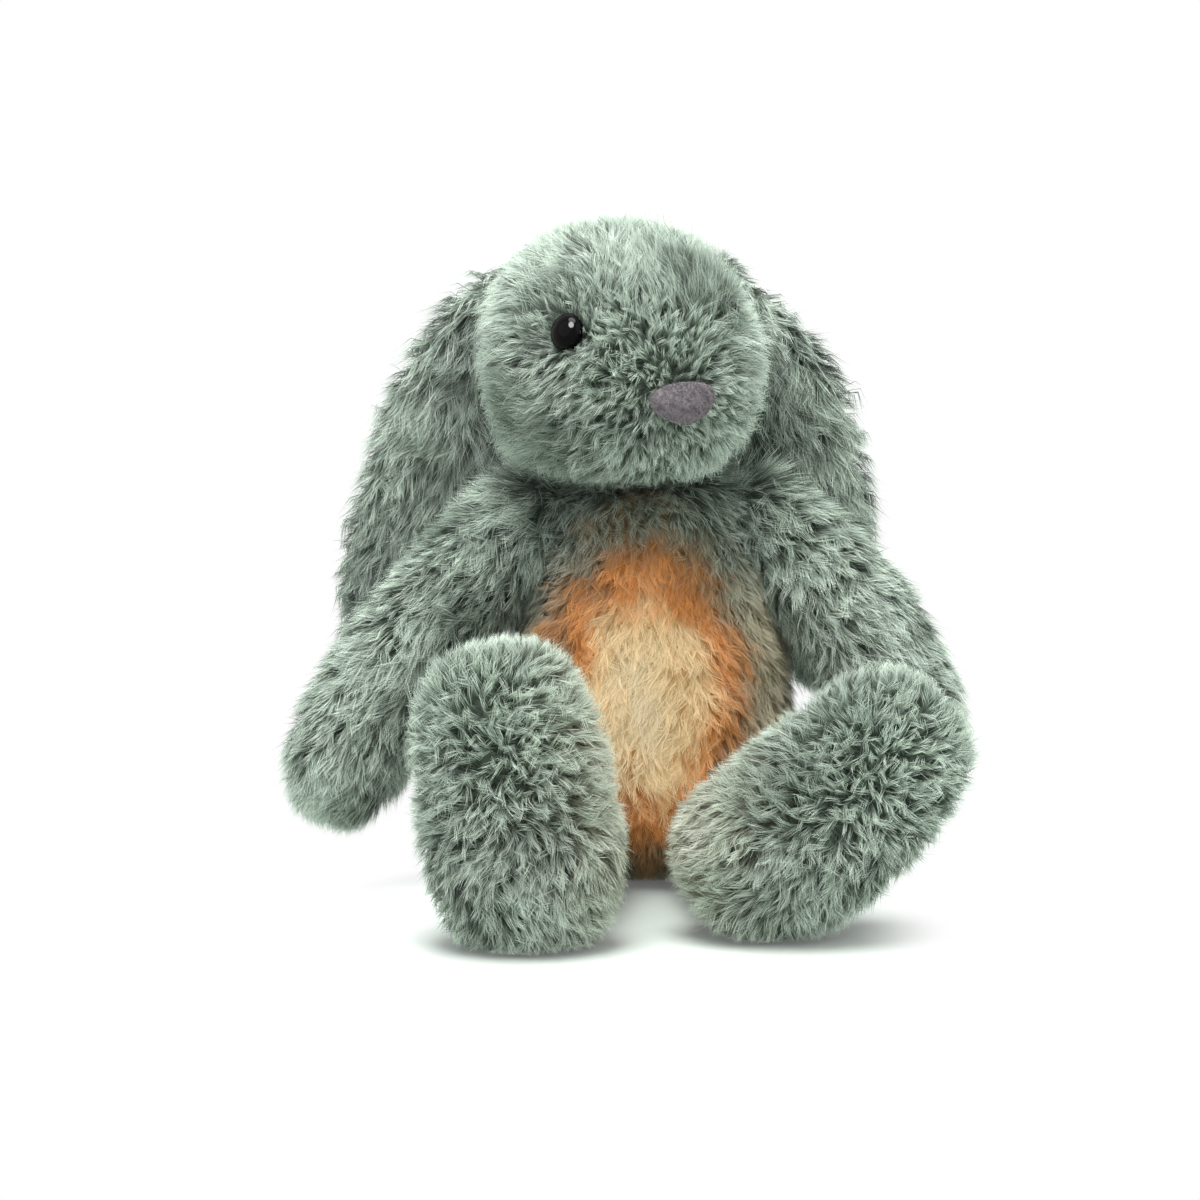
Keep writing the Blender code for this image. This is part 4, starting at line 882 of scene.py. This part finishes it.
# Eyes: the CAD's dome and shank turned again with many more sides
def makeEye(name, material):
    co = np.array([v.co for v in nodes[name].data.vertices])
    middle = co.mean(axis=0)
    axis = np.linalg.svd(co - middle, full_matrices=False)[2]
    spreads = [np.ptp(np.linalg.norm((co - middle) - np.outer((co - middle) @ a, a), axis=1)) for a in axis]
    axis = axis[int(np.argmin(spreads))]
    axis = axis * np.sign((middle - middleOf("head")) @ axis)
    along = (co - middle) @ axis
    away = np.linalg.norm((co - middle) - np.outer(along, axis), axis=1)
    wide = away.max()
    top, bottom, rim = along.max(), along.min(), along[away > eye["rimShare"] * wide].mean()
    shank = away[along < bottom + eye["slice"]].max()
    outline = [(wide * math.cos(a), rim + (top - rim) * math.sin(a))
               for a in np.linspace(math.pi / 2, 0, eye["rings"])]
    outline += [(wide * 0.97, rim - eye["lip"]), (shank * 1.15, rim - eye["groove"]), (shank, rim - eye["neck"]),
                (shank, bottom), (0.0, bottom)]
    side = unit(np.cross(axis, (0.3, 0.1, 1.0)))
    other = np.cross(axis, side)
    bm = bmesh.new()
    rings = []
    for radius, height in outline:
        centre = middle + axis * height
        if radius < 1e-7:
            rings.append([bm.verts.new(centre)])
            continue
        rings.append([bm.verts.new(centre + radius * (side * math.cos(a) + other * math.sin(a)))
                      for a in np.linspace(0, math.tau, eye["sides"], endpoint=False)])
    for upper, lower in zip(rings, rings[1:]):
        for i in range(eye["sides"]):
            j = (i + 1) % eye["sides"]
            corners = [upper[i % len(upper)], upper[j % len(upper)], lower[j % len(lower)], lower[i % len(lower)]]
            bm.faces.new(list(dict.fromkeys(corners)))
    bmesh.ops.recalc_face_normals(bm, faces=bm.faces)
    mesh = bpy.data.meshes.new("dome_" + name)
    bm.to_mesh(mesh)
    bm.free()
    mesh.shade_smooth()
    mesh.materials.append(material)
    return newObject("dome_" + name, mesh)


gloss = eyeMaterial()
for name in ("eye_right", "eye_left"):
    ball = makeEye(name, gloss)
    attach(ball, "head")
    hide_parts(name)
print("eyes done")


# The hard pieces that stay as the CAD has them: two colours, roughness from and to, the size of the grain
# (waves to a metre), its depth, and what else the finish has
finishes = {
    "module_white": {"pale": (0.80, 0.79, 0.75), "dark": (0.72, 0.71, 0.67), "rough": (0.34, 0.50), "grain": 1400,
                     "depth": 0.00003},
    "dome_frosted": {"pale": (0.93, 0.86, 0.74), "dark": (0.86, 0.77, 0.62), "rough": (0.30, 0.42), "grain": 1800,
                     "depth": 0.00002, "glow": 0.9, "glowColour": (1.0, 0.66, 0.32), "scatter": 0.5},
    "reflector_white": {"pale": (0.92, 0.92, 0.90), "dark": (0.84, 0.84, 0.82), "rough": (0.16, 0.26), "grain": 900,
                        "depth": 0.00001, "coat": 0.5},
    "board_green": {"pale": (0.030, 0.150, 0.065), "dark": (0.012, 0.075, 0.032), "rough": (0.26, 0.40),
                    "grain": 700, "depth": 0.00003, "tracks": (0.10, 0.26, 0.10)},
    "switch_black": {"pale": (0.030, 0.030, 0.032), "dark": (0.012, 0.012, 0.013), "rough": (0.40, 0.55),
                     "grain": 3000, "depth": 0.00002},
    "plated_steel": {"pale": (0.68, 0.67, 0.65), "dark": (0.48, 0.47, 0.45), "rough": (0.20, 0.36), "grain": 1100,
                     "depth": 0.00001, "metal": 1.0},
    "led_amber": {"pale": (0.95, 0.72, 0.30), "dark": (0.88, 0.60, 0.20), "rough": (0.12, 0.22), "grain": 2500,
                  "depth": 0.00001, "glow": 2.5, "glowColour": (1.0, 0.62, 0.24)},
    "cell_sleeve": {"pale": (0.055, 0.105, 0.200), "dark": (0.030, 0.065, 0.140), "rough": (0.24, 0.36),
                    "grain": 800, "depth": 0.00002, "coat": 0.4, "ends": (0.62, 0.61, 0.58)},
    "washer_white": {"pale": (0.78, 0.78, 0.76), "dark": (0.70, 0.70, 0.68), "rough": (0.42, 0.58), "grain": 1600,
                     "depth": 0.00003},
    "pouch_lining": {"pale": (0.74, 0.71, 0.63), "dark": (0.55, 0.52, 0.45), "rough": (0.80, 0.95), "grain": 260,
                     "depth": 0.00010, "weave": 1500},
    "loop_tape_grey": {"pale": (0.46, 0.47, 0.45), "dark": (0.24, 0.25, 0.235), "rough": (0.88, 0.98),
                       "grain": 1500, "depth": 0.00030, "weave": 900},
    "hook_tape_grey": {"pale": (0.40, 0.41, 0.39), "dark": (0.16, 0.165, 0.155), "rough": (0.55, 0.70),
                       "grain": 300, "depth": 0.00030, "weave": 1300},
}

# For all finishes: blotches in waves to a metre as a share of the grain's, how uneven threads are, cells of the
# board's tracks to a metre, and how far light spreads inside frosted plastic
finishing = {"blotchShare": 0.12, "ragged": 0.6, "tracks": 210, "scatterReach": 0.004}

# Hard pieces, fabric lining and tapes keep their CAD shape and take a finish each
slotOf = {row["node"]: row["material_slot"] for row in frame["record"]["subparts"]}
finished = {slot: solidMaterial(slot, facts) for slot, facts in finishes.items()}
for name, obj in nodes.items():
    if slotOf.get(name) in finished:
        for place in obj.material_slots:
            place.material = finished[slotOf[name]]
print("finishes done")


# Floor, light and camera

camera = {"target": (-0.016, 0.0, 0.098), "distance": 1.02, "elevation": 9, "lens": 85, "sensor": 36}

studio = {
    "key": {"place": (-0.12, -0.30, 1.45), "size": 0.85, "power": 27.0},
    "left": {"place": (-1.00, -0.75, 0.80), "size": 1.6, "power": 4.8},
    "right": {"place": (1.00, -0.80, 0.85), "size": 1.6, "power": 6.2},
    "back": {"place": (0.10, 1.00, 1.10), "size": 1.2, "power": 7.0},
    "sparkle": {"place": (-0.27, -0.68, 1.00), "size": 0.55, "power": 55.0, "onlyShine": True},
    "ambient": 0.54,
    "floorTint": (0.93, 0.99, 0.945),
    "floorLift": 0.10,       # share of plain white mixed into the floor near the toy
    "floorMiddle": (-0.008, -0.085, 0.0),
    "floorNear": 0.076,
    "floorFar": 0.112,
    # painted shade: near the toy the floor's colour darkens to this green-grey, over this reach, with so many samples
    "contact": {"reach": 0.045, "colour": (0.30, 0.36, 0.31), "samples": 8},
    "floorSize": 4.0,
    "aim": (0, 0, 0.1),      # the lamps point here
}


# 1 for the rays that show the background: straight to the camera, in a reflection or through something clear
def seenRays(tree, links):
    rays = tree.new("ShaderNodeLightPath")
    total = rays.outputs["Is Camera Ray"]
    for other in ("Is Glossy Ray", "Is Transmission Ray"):
        both = tree.new("ShaderNodeMath")
        both.operation = "MAXIMUM"
        links.new(total, both.inputs[0])
        links.new(rays.outputs[other], both.inputs[1])
        total = both.outputs[0]
    return total


def makeStage():
    mesh = bpy.data.meshes.new("floor")
    bm = bmesh.new()
    bmesh.ops.create_grid(bm, x_segments=2, y_segments=2, size=studio["floorSize"])
    bm.to_mesh(mesh)
    bm.free()
    floor = newObject("floor", mesh)
    material, tree, links, shader = newMaterial("floor_white", 0.9, 0.1)
    # Painted shade: ambient occlusion darkens the floor's colour where the toy stands close over it
    contact = tree.new("ShaderNodeAmbientOcclusion")
    contact.samples = studio["contact"]["samples"]
    contact.inputs["Distance"].default_value = studio["contact"]["reach"]
    shadeColour, openColour = (*studio["contact"]["colour"], 1), (*studio["floorTint"], 1)
    links.new(mixColours(tree, links, contact.outputs["AO"], shadeColour, openColour), shader.inputs["Base Color"])
    place = tree.new("ShaderNodeTexCoord")
    reach = tree.new("ShaderNodeVectorMath")
    reach.operation = "DISTANCE"
    reach.inputs[1].default_value = studio["floorMiddle"]
    links.new(place.outputs["Object"], reach.inputs[0])
    far = tree.new("ShaderNodeMapRange")
    far.interpolation_type = "SMOOTHSTEP"
    far.inputs["From Min"].default_value = studio["floorNear"]
    far.inputs["From Max"].default_value = studio["floorFar"]
    far.inputs["To Min"].default_value = studio["floorLift"]
    links.new(reach.outputs["Value"], far.inputs["Value"])
    seen = tree.new("ShaderNodeMath")
    seen.operation = "MULTIPLY"
    links.new(far.outputs[0], seen.inputs[0])
    links.new(seenRays(tree, links), seen.inputs[1])
    white = tree.new("ShaderNodeEmission")
    both = tree.new("ShaderNodeMixShader")
    links.new(seen.outputs[0], both.inputs[0])
    links.new(shader.outputs[0], both.inputs[1])
    links.new(white.outputs[0], both.inputs[2])
    links.new(both.outputs[0], tree["Material Output"].inputs[0])
    floor.data.materials.append(material)


def makeLight(name, facts):
    light = bpy.data.lights.new(name, "AREA")
    light.shape = "DISK"
    light.size = facts["size"]
    light.energy = facts["power"]
    obj = newObject(name, light)
    obj.visible_diffuse = not facts.get("onlyShine", False)
    obj.location = facts["place"]
    obj.rotation_euler = (Vector(studio["aim"]) - obj.location).to_track_quat("-Z", "Y").to_euler()


def makeWorld():
    world = bpy.data.worlds.new("studio")
    bpy.context.scene.world = world
    world.use_nodes = True
    tree, links = world.node_tree.nodes, world.node_tree.links
    background = tree["Background"]
    background.inputs["Color"].default_value = (1, 1, 1, 1)
    strength = tree.new("ShaderNodeMix")
    strength.inputs[2].default_value = studio["ambient"]
    strength.inputs[3].default_value = 1.0
    links.new(seenRays(tree, links), strength.inputs[0])
    links.new(strength.outputs[0], background.inputs["Strength"])


def makeCamera():
    data = bpy.data.cameras.new("camera")
    data.lens = camera["lens"]
    data.sensor_width = camera["sensor"]
    obj = newObject("camera", data)
    tilt = math.radians(camera["elevation"])
    back = Vector((0, -math.cos(tilt), math.sin(tilt)))
    obj.location = Vector(camera["target"]) + back * camera["distance"]
    obj.rotation_euler = back.to_track_quat("Z", "Y").to_euler()
    bpy.context.scene.camera = obj


makeStage()
for name in ("key", "left", "right", "back", "sparkle"):
    makeLight(name, studio[name])
makeWorld()
makeCamera()
bpy.context.scene.view_settings.view_transform = "Standard"
print("stage done")
